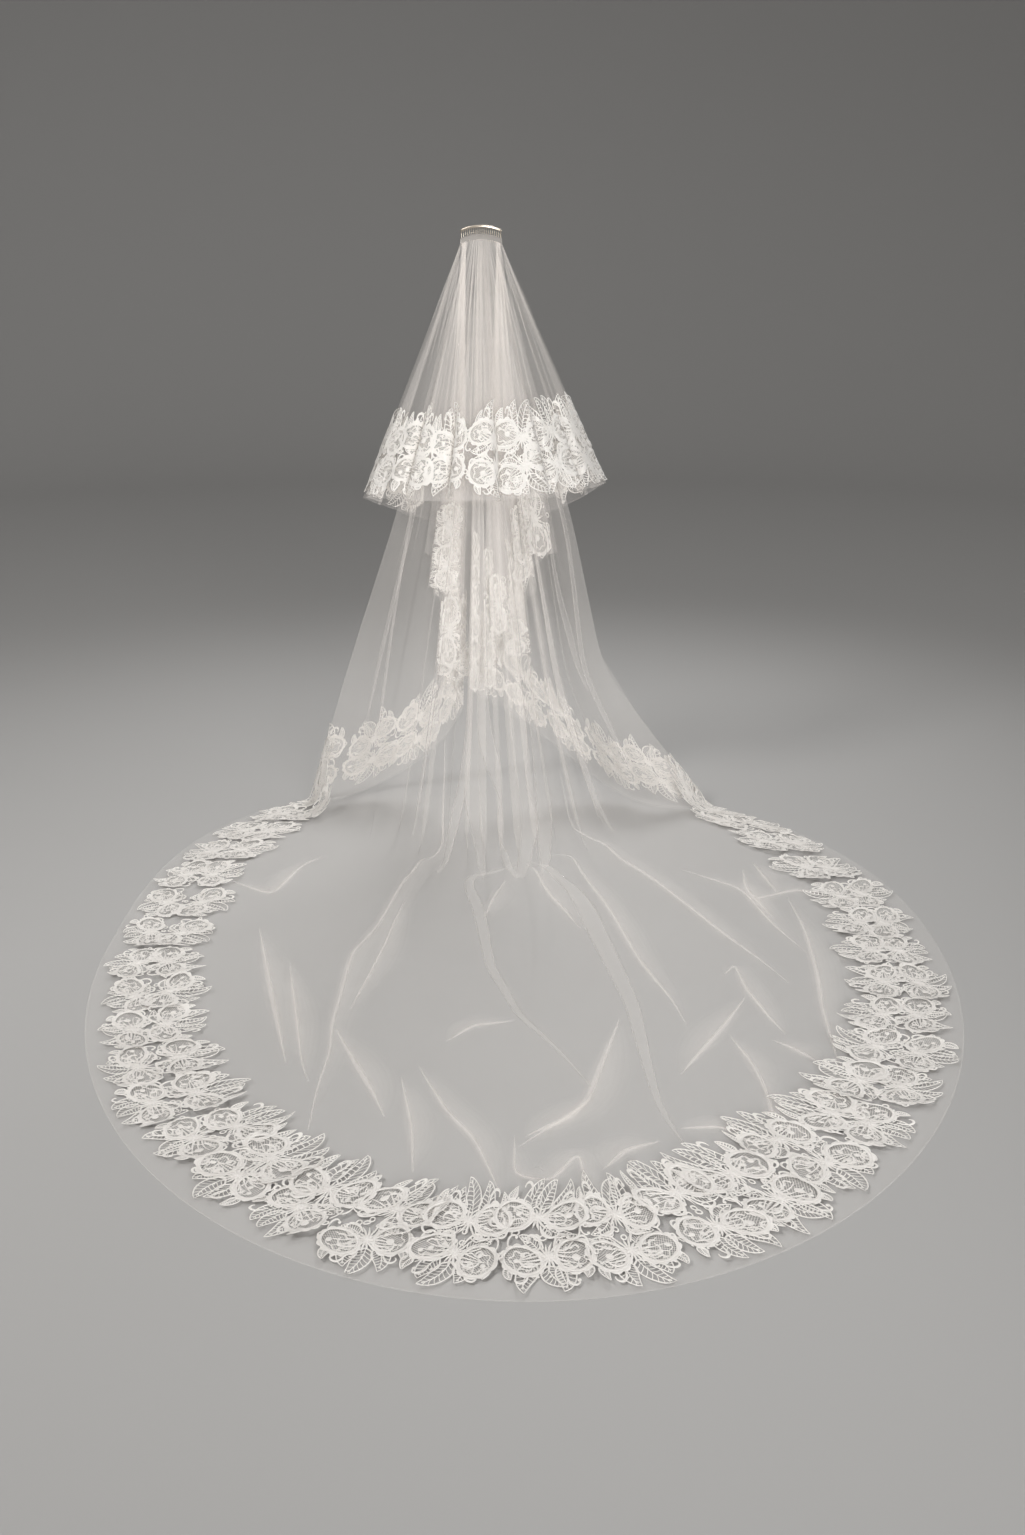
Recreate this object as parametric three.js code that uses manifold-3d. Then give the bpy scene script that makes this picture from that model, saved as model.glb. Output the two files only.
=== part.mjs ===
// A two-tier bridal veil that hangs from a hair comb. Its long tier is spread on the floor as an oval train.
// Millimetres, +Z up. The origin is the middle of the comb's spine. -Y is the side that the train lies on,
// +Y is the open side with the two cascading edges, and +X is to the right when looking along +Y.
import * as THREE from "three";
import { mergeVertices } from "three/addons/utils/BufferGeometryUtils.js";
import Module from "manifold-3d";

const wasm = await Module();
wasm.setup();

// Driving sizes
const COMB_ABOVE_FLOOR = 1500;
const TULLE = 1.2;
const LACE = 1.2;
const LACE_LIFT = 0.8;
const PIECE_GAP = 0.4;

// Comb
const COMB_WIDTH = 102;
const COMB_ARCH_RADIUS = 118;
const COMB_BEND_RADIUS = 160;
const SPINE_HEIGHT = 6;
const SPINE_DEPTH = 3.6;
const SPINE_STEPS = 14;
const TOOTH_COUNT = 20;
const TOOTH_LENGTH = 38;
const TOOTH_SPAN = 96;
const TOOTH_SIDES = 5;
const TOOTH_RADIUS = { root: 0.9, tip: 0.45, end: 1.25 };
// Corners of the spine's section, in shares of its depth and height
const SPINE_SECTION = [
  { y: -0.5, z: -0.3 },
  { y: -0.5, z: 0.3 },
  { y: -0.2, z: 0.5 },
  { y: 0.2, z: 0.5 },
  { y: 0.5, z: 0.3 },
  { y: 0.5, z: -0.3 },
  { y: 0.2, z: -0.5 },
  { y: -0.2, z: -0.5 },
];

// Gathered header, whip-stitched in front of the teeth
const HEADER_TOP = 18;
const HEADER_BOTTOM = 29;
const HEADER_HALF_WIDTH = 51;
const HEADER_BACK = -1.6;
const HEADER_FRONT = -6.4;
const HEADER_RIB = 0.9;
const HEADER_STEPS = 34;
const LONG_TIER_ROOT = -2.9;
const SHORT_TIER_ROOT = -5.1;

// Hem of the train on the floor, a superellipse
const TRAIN = {
  centreX: 100,
  centreY: -930,
  halfWidth: 908,
  frontHalf: 1270,
  backHalf: 1100,
  frontPower: 2,
  backLeftPower: 3,
  backRightPower: 2.2,
};

// Where the hanging cloth meets the floor. turn is the train's angle from the front, in degrees.
const FEET = [
  { turn: -149.5, x: -478, y: 66 },
  { turn: -140, x: -425, y: -45 },
  { turn: -125, x: -350, y: -180 },
  { turn: -105, x: -270, y: -290 },
  { turn: -85, x: -205, y: -370 },
  { turn: -60, x: -130, y: -440 },
  { turn: -30, x: -40, y: -490 },
  { turn: 0, x: 50, y: -510 },
  { turn: 30, x: 140, y: -480 },
  { turn: 60, x: 225, y: -410 },
  { turn: 85, x: 300, y: -330 },
  { turn: 105, x: 370, y: -250 },
  { turn: 125, x: 460, y: -140 },
  { turn: 140, x: 560, y: -30 },
  { turn: 147.9, x: 611, y: 16 },
];
// How far up the cloth begins to bend on to the floor, and at most this share of its run there
const FLOOR_BEND = 110;
const BEND_SHARE = 0.6;

// Hem of the open side, from the cascade down to the floor. height is above the floor.
const LEFT_ARCH = [
  { x: -60, y: 130, height: 240 },
  { x: -84, y: 138, height: 200 },
  { x: -130, y: 142, height: 130 },
  { x: -228, y: 135, height: 62 },
  { x: -310, y: 122, height: 20 },
  { x: -400, y: 66, height: 0 },
  { x: -478, y: 66, height: 0 },
];
const RIGHT_ARCH = [
  { x: 611, y: 16, height: 0 },
  { x: 520, y: -8, height: 0 },
  { x: 420, y: 40, height: 0 },
  { x: 333, y: 125, height: 26 },
  { x: 222, y: 142, height: 112 },
  { x: 140, y: 144, height: 178 },
  { x: 48, y: 130, height: 250 },
];

// Creases of the cascading edges, from the free edge to the arch on the left and back again on the right
const LEFT_CASCADE = [
  { x: -150, y: 8, height: 700 },
  { x: -90, y: 20, height: 650 },
  { x: -138, y: 34, height: 590 },
  { x: -62, y: 48, height: 520 },
  { x: -120, y: 64, height: 440 },
  { x: -44, y: 80, height: 370 },
  { x: -112, y: 102, height: 300 },
  { x: -60, y: 130, height: 240 },
];
const RIGHT_CASCADE = [
  { x: 48, y: 130, height: 250 },
  { x: -30, y: 102, height: 296 },
  { x: 60, y: 84, height: 350 },
  { x: 4, y: 68, height: 410 },
  { x: 128, y: 54, height: 450 },
  { x: 66, y: 40, height: 530 },
  { x: 146, y: 28, height: 600 },
  { x: 112, y: 18, height: 650 },
  { x: 190, y: 8, height: 705 },
];

// Hem of the short tier, from its left edge round the front to its right edge. share is the place on the
// header, as a share of its half width.
const SHORT_HEM = [
  { x: -120, y: 150, height: 745, share: -1 },
  { x: -222, y: 95, height: 788, share: -0.99 },
  { x: -290, y: 0, height: 833, share: -0.97 },
  { x: -250, y: -110, height: 850, share: -0.8 },
  { x: -150, y: -205, height: 860, share: -0.45 },
  { x: 0, y: -245, height: 864, share: 0 },
  { x: 150, y: -215, height: 870, share: 0.45 },
  { x: 256, y: -120, height: 878, share: 0.8 },
  { x: 300, y: 0, height: 872, share: 0.97 },
  { x: 238, y: 85, height: 815, share: 0.99 },
  { x: 150, y: 140, height: 768, share: 1 },
];

// Shares of the header's half width, from its middle, that each stretch of the long tier is gathered into
const GATHER = { train: 0.6, arch: 0.74, cascade: 0.9 };
const STEPS = { cascadeFold: 2, arch: 8, trainEnd: 8, endCrowding: 1.8 };

// Folds of the long tier round its front. turn is where a fold begins, in degrees of the train, and the
// next row's turn is where it ends. depth is how far it stands out at the floor, lying is its height on the
// floor, and reach is how far it runs on there.
const LONG_FOLDS = [
  { turn: -112, depth: 12, lying: 4, reach: 200 },
  { turn: -90, depth: 16, lying: 6, reach: 400 },
  { turn: -68, depth: 24, lying: 16, reach: 1100 },
  { turn: -48, depth: 12, lying: 5, reach: 500 },
  { turn: -28, depth: 30, lying: 10, reach: 500 },
  { turn: -13, depth: 36, lying: 14, reach: 900 },
  { turn: 1, depth: 36, lying: 12, reach: 600 },
  { turn: 15, depth: 32, lying: 16, reach: 1100 },
  { turn: 30, depth: 14, lying: 8, reach: 500 },
  { turn: 50, depth: 18, lying: 14, reach: 900 },
  { turn: 72, depth: 16, lying: 6, reach: 400 },
  { turn: 92, depth: 14, lying: 4, reach: 200 },
  { turn: 112, depth: 0, lying: 0, reach: 0 },
];

// Folds of the short tier. at is where a fold begins, as a share of the hem's table. depth is at the hem.
const SHORT_FOLDS = [
  { at: 0, depth: 10 },
  { at: 0.08, depth: 16 },
  { at: 0.17, depth: 22 },
  { at: 0.27, depth: 34 },
  { at: 0.37, depth: 24 },
  { at: 0.45, depth: 34 },
  { at: 0.53, depth: 34 },
  { at: 0.61, depth: 24 },
  { at: 0.69, depth: 26 },
  { at: 0.77, depth: 22 },
  { at: 0.85, depth: 16 },
  { at: 0.93, depth: 10 },
  { at: 1, depth: 0 },
];

// Where a fold's flat top begins and ends, as shares of its width, and how far the valleys go in
const FOLD_TOP = { from: 0.3, to: 0.7 };
const FOLD_VALLEY = 0.6;

// How far out the hanging cloth is, as a share, at each share of the way down: on the left side, in the
// middle and on the right side, which these angles of the train mark
const FLARE = [
  { down: 0, left: 0, middle: 0, right: 0 },
  { down: 0.22, left: 0.21, middle: 0.15, right: 0.16 },
  { down: 0.46, left: 0.43, middle: 0.34, right: 0.33 },
  { down: 0.72, left: 0.72, middle: 0.61, right: 0.47 },
  { down: 0.86, left: 0.86, middle: 0.79, right: 0.73 },
  { down: 1, left: 1, middle: 1, right: 1 },
];
const SIDE_TURN = { from: 60, to: 125 };

// Lace: the edges of its band and of its openings, as shares of its width, from the outer one inwards
const LACE_ROWS = [0, 0.33, 0.66, 1];
const LACE_BAND = {
  short: { margin: 32, width: 195 },
  hanging: { margin: 24, width: 180 },
};

// The band on the train, at angles of the hem from the front
const TRAIN_BAND = [
  { turn: -112, margin: 22, width: 178 },
  { turn: -75, margin: 24, width: 185 },
  { turn: -35, margin: 24, width: 240 },
  { turn: 0, margin: 18, width: 270 },
  { turn: 35, margin: 22, width: 280 },
  { turn: 75, margin: 24, width: 190 },
  { turn: 112, margin: 22, width: 178 },
];
const LACE_STEPS = 6;
const LACE_PERIOD = 240;
const LACE_END_GAP = 0.012;
const LACE_ZONES = ["left_cascade", "left_arch", "left_end", "right_end", "right_arch", "right_cascade"];

// One motif's outline at each share of its length. outer and inner move the two edges, in shares of a row.
const MOTIF = [
  { share: 0, outer: 0.5, inner: 0.55 },
  { share: 0.17, outer: 0, inner: 0.1 },
  { share: 0.34, outer: 0.45, inner: 0 },
  { share: 0.5, outer: 0.1, inner: 0.5 },
  { share: 0.67, outer: 0.35, inner: 0.05 },
  { share: 0.84, outer: 0, inner: 0.35 },
  { share: 1, outer: 0.5, inner: 0.55 },
];
const MOTIF_HOLES = [1, 4];

// Rows of the two tiers above the lace. The long tier's are at these shares of the way to the floor, then of
// the way on from there to the lace.
const SHORT_ROWS = 4;
const LONG_ROWS = [0, 0.22, 0.46, 0.72, 0.92, 1.03];
const FLOOR_ROWS = [0.33, 0.68];
const KNEE_SHARE = 0.85;
const THREAD_STEPS = 24;
const CORNER_STEPS = 8;

// Steps along the hem of the train: in degrees, for its distances, and as a count, for its length
const HEM_STEP = 2.5;
const HEM_MEASURING_STEPS = 400;

// The train lies flat this near to its hem, and its folds reach their height over the next stretch
const FLAT_BEFORE_HEM = 320;
const FOLD_FADE = 250;
const FLAT_BEYOND_LACE = 15;

// At a crease the wall's half thickness is stretched along the average direction, up to this much
const CREASE_STRETCH = 1.6;
const CREASE_LEAST = 0.2;
const TINY = 1e-6;
const WELD = 1e-4;

const tullePaint = new THREE.MeshStandardMaterial({ color: 0xf1eeea, roughness: 0.9, metalness: 0 });
const lacePaint = new THREE.MeshStandardMaterial({ color: 0xfaf8f4, roughness: 0.75, metalness: 0 });
const metalPaint = new THREE.MeshStandardMaterial({ color: 0xb9b0a2, roughness: 0.35, metalness: 0.9 });

const vec = (x, y, z) => new THREE.Vector3(x, y, z);
const mix = (a, b, t) => a + (b - a) * t;
const smooth = (t) => {
  const c = Math.min(1, Math.max(0, t));
  return c * c * (3 - 2 * c);
};

// A value of a table's column at a share of its length, counted in rows
function rowAt(table, share) {
  const place = Math.min(1, Math.max(0, share)) * (table.length - 1);
  const i = Math.min(table.length - 2, Math.floor(place));
  const made = {};
  for (const key of Object.keys(table[0])) made[key] = mix(table[i][key], table[i + 1][key], place - i);
  return made;
}

// The row at a given value of a column that rises down the table
function rowWhere(table, key, value) {
  let i = 0;
  while (i < table.length - 2 && table[i + 1][key] < value) i += 1;
  const t = (value - table[i][key]) / (table[i + 1][key] - table[i][key]);
  const made = {};
  for (const name of Object.keys(table[0])) made[name] = mix(table[i][name], table[i + 1][name], t);
  return made;
}

// The comb's own line: it arches up in the middle, and its ends bend away from the train
const archDrop = (x) => Math.sqrt(COMB_ARCH_RADIUS ** 2 - x * x) - COMB_ARCH_RADIUS;
const bendBack = (x) => (x * x) / (2 * COMB_BEND_RADIUS);

function headerPoint(x, root) {
  return vec(x, bendBack(x) + root, archDrop(x) - HEADER_BOTTOM - PIECE_GAP);
}

// The train's hem at an angle from the front
function trainHem(turn) {
  const a = THREE.MathUtils.degToRad(turn);
  const front = Math.cos(a) >= 0;
  const backPower = turn < 0 ? TRAIN.backLeftPower : TRAIN.backRightPower;
  const power = 2 / (front ? TRAIN.frontPower : backPower);
  const across = Math.sign(Math.sin(a)) * Math.abs(Math.sin(a)) ** power;
  const along = Math.sign(Math.cos(a)) * Math.abs(Math.cos(a)) ** power;
  const half = front ? TRAIN.frontHalf : TRAIN.backHalf;
  const x = TRAIN.centreX + TRAIN.halfWidth * across;
  const y = TRAIN.centreY - half * along;
  return vec(x, y, TULLE / 2 - COMB_ABOVE_FLOOR);
}

// How far out the hanging cloth is at a share of the way down. side is -1 on the left, 0 in the middle and
// 1 on the right.
function flare(down, side) {
  const row = rowWhere(FLARE, "down", down);
  return side < 0 ? mix(row.middle, row.left, -side) : mix(row.middle, row.right, side);
}

// One thread of hanging cloth, from top to foot. out(t) is how far out it is at a share of its height.
function hang(top, foot, out) {
  const points = [];
  for (let k = 0; k <= THREAD_STEPS; k += 1) {
    const t = k / THREAD_STEPS;
    points.push(vec(mix(top.x, foot.x, out(t)), mix(top.y, foot.y, out(t)), mix(top.z, foot.z, t)));
  }
  return points;
}

// A thread that turns at its foot and goes on along the floor to the hem
function trail(points, hem) {
  const foot = points[points.length - 1];
  const run = hem.distanceTo(foot);
  if (run < 1) return points;
  const bend = Math.min(FLOOR_BEND, BEND_SHARE * run);
  const hanging = points.filter((p) => p.z > foot.z + bend);
  const start = hanging[hanging.length - 1];
  const end = foot.clone().lerp(hem, bend / run);
  const corner = new THREE.QuadraticBezierCurve3(start, foot, end).getPoints(CORNER_STEPS).slice(1);
  return [...hanging, ...corner, hem];
}

// Lengths along a thread, and the point at one length
function lengthsOf(points) {
  const lengths = [0];
  for (let k = 1; k < points.length; k += 1) {
    lengths.push(lengths[k - 1] + points[k].distanceTo(points[k - 1]));
  }
  return lengths;
}

function pointAt(points, lengths, s) {
  let k = 0;
  while (k < lengths.length - 2 && lengths[k + 1] < s) k += 1;
  const t = Math.min(1, Math.max(0, (s - lengths[k]) / (lengths[k + 1] - lengths[k])));
  return points[k].clone().lerp(points[k + 1], t);
}

// Distance of a point on the floor from the train's hem
const HEM_LINE = [];
for (let turn = FEET[0].turn; turn <= FEET[FEET.length - 1].turn; turn += HEM_STEP) {
  HEM_LINE.push(trainHem(turn));
}

function fromHem(point) {
  const nearest = vec(0, 0, 0);
  let least = Infinity;
  for (let k = 1; k < HEM_LINE.length; k += 1) {
    new THREE.Line3(HEM_LINE[k - 1], HEM_LINE[k]).closestPointToPoint(point, true, nearest);
    least = Math.min(least, nearest.distanceTo(point));
  }
  return least;
}

// The lace's four edges, from the inner one to the outer one, at a share of a motif's length on a band
function laceEdges(share, { margin, width }) {
  const { outer, inner } = rowAt(MOTIF, share);
  const [q0, q1, q2, q3] = LACE_ROWS;
  return [mix(q3, q2, inner), q2, q1, mix(q0, q1, outer)].map((q) => margin + width * q);
}

// Rows down one thread: those that above(laceTop) gives, then one at each edge of the lace, then the hem.
// edges are distances from the hem, measured along the thread, or by away(point) where the cloth has one.
// In a row, s is the length from the header and left is the distance from the hem.
function rowsOf(points, edges, above, away) {
  const lengths = lengthsOf(points);
  const total = lengths[lengths.length - 1];
  const left = (s) => (away ? away(pointAt(points, lengths, s)) : total - s);
  const where = (distance) => {
    let low = 0;
    let high = total;
    for (let k = 0; k < THREAD_STEPS; k += 1) {
      const middle = (low + high) / 2;
      if (left(middle) > distance) low = middle;
      else high = middle;
    }
    return (low + high) / 2;
  };
  const laceTop = where(edges[0]);
  const at = [...above(laceTop), ...edges.map(where), total];
  return at.map((s) => ({ point: pointAt(points, lengths, s), left: left(s), s }));
}

const evenRows = (count) => (laceTop) => Array.from({ length: count }, (_, k) => (laceTop * k) / count);

// Rows of the long tier above the lace: LONG_ROWS down to the knee, then FLOOR_ROWS from there to the lace.
// The knee is the thread's foot, or a little before the lace where the lace begins above the foot.
const longRows = (footAt) => (laceTop) => {
  const knee = Math.min(footAt, KNEE_SHARE * laceTop);
  const hanging = LONG_ROWS.map((share) => share * knee);
  const lying = FLOOR_ROWS.map((share) => mix(knee, laceTop, share));
  return [...hanging, ...lying];
};

// Average outward direction at each point of a grid of points, longer at sharp creases
function normalsOf(grid) {
  const last = grid.length - 1;
  return grid.map((column, i) =>
    column.map((p, j) => {
      const before = grid[Math.max(0, i - 1)][j];
      const after = grid[Math.min(last, i + 1)][j];
      const up = column[Math.max(0, j - 1)];
      const down = column[Math.min(column.length - 1, j + 1)];
      const along = down.clone().sub(up);
      const sides = [p.clone().sub(before), after.clone().sub(p)].filter((d) => d.lengthSq() > 0);
      const faces = sides.map((d) => along.clone().cross(d).normalize());
      const sum = faces.reduce((a, b) => a.clone().add(b));
      if (sum.lengthSq() < TINY) sum.copy(faces[0]);
      sum.normalize();
      const stretch = 1 / Math.max(CREASE_LEAST, sum.dot(faces[0]));
      return sum.multiplyScalar(Math.min(CREASE_STRETCH, stretch));
    }),
  );
}

// A closed sheet between two grids of points, without the cells that skip(i, j) names
function sheetBetween(front, back, skip = () => false) {
  const columns = front.length;
  const rows = front[0].length;
  const position = [];
  for (const grid of [front, back])
    for (const column of grid) for (const p of column) position.push(p.x, p.y, p.z);
  const frontAt = (i, j) => i * rows + j;
  const backAt = (i, j) => columns * rows + i * rows + j;
  const there = (i, j) => i >= 0 && j >= 0 && i < columns - 1 && j < rows - 1 && !skip(i, j);
  const index = [];
  const face = (a, b, c, d) => index.push(a, b, c, a, c, d);
  for (let i = 0; i < columns - 1; i += 1)
    for (let j = 0; j < rows - 1; j += 1) {
      if (!there(i, j)) continue;
      face(frontAt(i, j), frontAt(i, j + 1), frontAt(i + 1, j + 1), frontAt(i + 1, j));
      face(backAt(i, j), backAt(i + 1, j), backAt(i + 1, j + 1), backAt(i, j + 1));
      if (!there(i - 1, j)) face(frontAt(i, j), backAt(i, j), backAt(i, j + 1), frontAt(i, j + 1));
      if (!there(i + 1, j))
        face(frontAt(i + 1, j + 1), backAt(i + 1, j + 1), backAt(i + 1, j), frontAt(i + 1, j));
      if (!there(i, j - 1)) face(frontAt(i + 1, j), backAt(i + 1, j), backAt(i, j), frontAt(i, j));
      if (!there(i, j + 1))
        face(frontAt(i, j + 1), backAt(i, j + 1), backAt(i + 1, j + 1), frontAt(i + 1, j + 1));
    }
  const geometry = new THREE.BufferGeometry();
  geometry.setAttribute("position", new THREE.Float32BufferAttribute(position, 3));
  geometry.setIndex(index);
  const used = mergeVertices(geometry.toNonIndexed(), WELD);
  used.computeVertexNormals();
  return used;
}

// Moves each point of a grid along its outward direction by amount(i, j)
const offsetGrid = (grid, outward, amount) =>
  grid.map((column, i) => column.map((p, j) => p.clone().addScaledVector(outward[i][j], amount(i, j))));

// Columns of a row of folds: a valley where each fold begins, then the two edges of its flat top
function foldColumns(folds, key) {
  const columns = [];
  folds.slice(0, -1).forEach((fold, k) => {
    const next = folds[k + 1];
    const before = k > 0 ? folds[k - 1].depth : 0;
    const valley = { ...fold, depth: -FOLD_VALLEY * Math.min(before, fold.depth), lying: 0 };
    columns.push({ ...valley, at: fold[key] });
    columns.push({ ...fold, at: mix(fold[key], next[key], FOLD_TOP.from) });
    columns.push({ ...fold, at: mix(fold[key], next[key], FOLD_TOP.to) });
  });
  const last = folds[folds.length - 1];
  columns.push({ ...last, at: last[key] });
  return columns;
}

// Columns of a cascade or an arch, evenly along its table, gathered between two places on the header
function tableColumns(zone, table, count, from, to, side) {
  const columns = [];
  for (let k = 0; k <= count; k += 1) {
    const { x, y, height } = rowAt(table, k / count);
    const foot = vec(x, y, Math.max(height, TULLE / 2) - COMB_ABOVE_FLOOR);
    columns.push({ zone, foot, share: mix(from, to, k / count), side: side(k / count), depth: 0 });
  }
  return columns;
}

// Columns of the part of the long tier that trails on the floor
function trainColumns() {
  const first = FEET[0].turn;
  const last = FEET[FEET.length - 1].turn;
  const folds = foldColumns(LONG_FOLDS, "turn");
  const plainTo = folds[0].at;
  const plainFrom = folds[folds.length - 1].at;
  const flat = { depth: 0, lying: 0, reach: 0 };
  const plain = (zone, from, to) =>
    Array.from({ length: STEPS.trainEnd }, (_, k) => {
      const share = (k / STEPS.trainEnd) ** STEPS.endCrowding;
      return { ...flat, zone, at: mix(from, to, share) };
    });
  const columns = [
    ...plain("left_end", first, plainTo),
    ...folds.map((fold) => ({ ...fold, zone: "train" })),
    ...plain("right_end", last, plainFrom).reverse(),
  ];
  return columns.map((column, k) => {
    const { x, y } = rowWhere(FEET, "turn", column.at);
    const aside = (Math.abs(column.at) - SIDE_TURN.from) / (SIDE_TURN.to - SIDE_TURN.from);
    const side = Math.sign(column.at) * smooth(aside);
    const share = mix(-GATHER.train, GATHER.train, k / (columns.length - 1));
    const foot = vec(x, y, TULLE / 2 - COMB_ABOVE_FLOOR);
    return { ...column, side, share, foot, hem: trainHem(column.at) };
  });
}

// Columns of the long tier, from its left free edge round the front to its right one
function longColumns() {
  const { train, arch, cascade } = GATHER;
  const leftFolds = (LEFT_CASCADE.length - 1) * STEPS.cascadeFold;
  const rightFolds = (RIGHT_CASCADE.length - 1) * STEPS.cascadeFold;
  return [
    ...tableColumns("left_cascade", LEFT_CASCADE, leftFolds, -cascade, -arch, () => 0).slice(0, -1),
    ...tableColumns("left_arch", LEFT_ARCH, STEPS.arch, -arch, -train, (t) => -t).slice(0, -1),
    ...trainColumns(),
    ...tableColumns("right_arch", RIGHT_ARCH, STEPS.arch, train, arch, (t) => 1 - t).slice(1),
    ...tableColumns("right_cascade", RIGHT_CASCADE, rightFolds, arch, cascade, () => 0).slice(1),
  ];
}

// The lace pieces of one zone of the long tier: its columns in two halves
function halvesOf(columns, zone) {
  const zones = columns.map((column) => column.zone);
  const onLeft = zone.startsWith("left");
  const first = zones.indexOf(zone) - (onLeft ? 0 : 1);
  const last = zones.lastIndexOf(zone) + (onLeft ? 1 : 0);
  const middle = Math.round((first + last) / 2);
  return [
    { name: zone + "_lace_01", first, last: middle },
    { name: zone + "_lace_02", first: middle, last },
  ];
}

// The long tier's grid: plain rows first, then folds that fade out before the lace of the train
function longTierGrid() {
  const columns = longColumns();
  const pieces = LACE_ZONES.flatMap((zone) => halvesOf(columns, zone));
  const rows = columns.map(({ zone, share, side, foot, hem, at }, i) => {
    const top = headerPoint(share * HEADER_HALF_WIDTH, LONG_TIER_ROOT);
    const reach = (top.z - foot.z) / COMB_ABOVE_FLOOR;
    const hanging = hang(top, foot, (t) => flare(t * reach, side) / flare(reach, side));
    const points = hem ? trail(hanging, hem) : hanging;
    const footAt = lengthsOf(hanging)[THREAD_STEPS];
    const piece = pieces.find(({ first, last }) => i >= first && i <= last);
    if (piece) {
      const edges = laceEdges((i - piece.first) / (piece.last - piece.first), LACE_BAND.hanging);
      return rowsOf(points, edges, longRows(footAt), zone === "train" ? fromHem : null);
    }
    const { margin, width } = rowWhere(TRAIN_BAND, "turn", at);
    const edges = LACE_ROWS.map((q) => margin + width * q).reverse();
    edges[0] += FLAT_BEYOND_LACE;
    return rowsOf(points, edges, longRows(footAt), fromHem);
  });
  const plain = rows.map((column) => column.map((row) => row.point));
  const outward = normalsOf(plain);
  const stand = (i, j) => {
    const { depth, lying, reach } = columns[i];
    if (!reach) return 0;
    const { point, left, s } = rows[i][j];
    const height = point.z + COMB_ABOVE_FLOOR;
    const onFloor = 1 - smooth(height / FLOOR_BEND);
    const down = Math.max(0, 1 - (height + HEADER_BOTTOM) / COMB_ABOVE_FLOOR);
    const runOut = 1 - smooth((s - COMB_ABOVE_FLOOR) / reach);
    const beforeHem = smooth((left - FLAT_BEFORE_HEM) / FOLD_FADE);
    return beforeHem * mix(depth * Math.sqrt(down), lying * runOut, onFloor);
  };
  return { grid: offsetGrid(plain, outward, stand), pieces };
}

// The short tier's grid: straight threads from the header, folded all round
function shortTierGrid() {
  const columns = foldColumns(SHORT_FOLDS, "at");
  const rows = columns.map(({ at }, i) => {
    const hem = rowAt(SHORT_HEM, at);
    const top = headerPoint(hem.share * HEADER_HALF_WIDTH, SHORT_TIER_ROOT);
    const foot = vec(hem.x, hem.y, hem.height - COMB_ABOVE_FLOOR);
    const edges = laceEdges((i % LACE_STEPS) / LACE_STEPS, LACE_BAND.short);
    return rowsOf(hang(top, foot, (t) => t), edges, evenRows(SHORT_ROWS));
  });
  const plain = rows.map((column) => column.map((row) => row.point));
  const last = plain[0].length - 1;
  return offsetGrid(plain, normalsOf(plain), (i, j) => (columns[i].depth * j) / last);
}

// Cloth of even thickness round a grid
function tulle(grid) {
  const outward = normalsOf(grid);
  const front = offsetGrid(grid, outward, () => TULLE / 2);
  const back = offsetGrid(grid, outward, () => -TULLE / 2);
  return sheetBetween(front, back);
}

// Lace on a stretch of a grid, from column first to column last, on the rows that rowsOf gave its edges
function laceOnGrid(grid, { first, last }) {
  const outward = normalsOf(grid);
  const inner = grid[0].length - 1 - LACE_ROWS.length;
  const pick = (lift) => {
    const made = [];
    for (let i = first; i <= last; i += 1) {
      const next = i === last ? i - 1 : i + 1;
      const gap = i === first || i === last ? LACE_END_GAP : 0;
      made.push(
        LACE_ROWS.map((_, k) => {
          const at = (grids) => grids[i][inner + k].clone().lerp(grids[next][inner + k], gap);
          return at(grid).addScaledVector(at(outward), lift);
        }),
      );
    }
    return made;
  };
  const bottom = TULLE / 2 + LACE_LIFT;
  const holes = MOTIF_HOLES.map((hole) => first + Math.floor((hole * (last - first)) / LACE_STEPS));
  return sheetBetween(pick(bottom + LACE), pick(bottom), (i, j) => j === 1 && holes.includes(first + i));
}

// Lace that lies flat on the train, between two angles of its hem
function laceOnFloor(from, to) {
  const pick = (lift) => {
    const made = [];
    for (let k = 0; k <= LACE_STEPS; k += 1) {
      const share = mix(LACE_END_GAP, 1 - LACE_END_GAP, k / LACE_STEPS);
      const turn = mix(from, to, share);
      const hem = trainHem(turn);
      const along = trainHem(turn + HEM_STEP / 2).sub(trainHem(turn - HEM_STEP / 2)).normalize();
      const inward = vec(0, 0, 1).cross(along);
      const edges = laceEdges(k / LACE_STEPS, rowWhere(TRAIN_BAND, "turn", turn));
      made.push(edges.map((q) => hem.clone().addScaledVector(inward, q).setZ(lift - COMB_ABOVE_FLOOR)));
    }
    return made;
  };
  const bottom = TULLE + PIECE_GAP;
  return sheetBetween(pick(bottom + LACE), pick(bottom), (i, j) => j === 1 && MOTIF_HOLES.includes(i));
}

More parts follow.
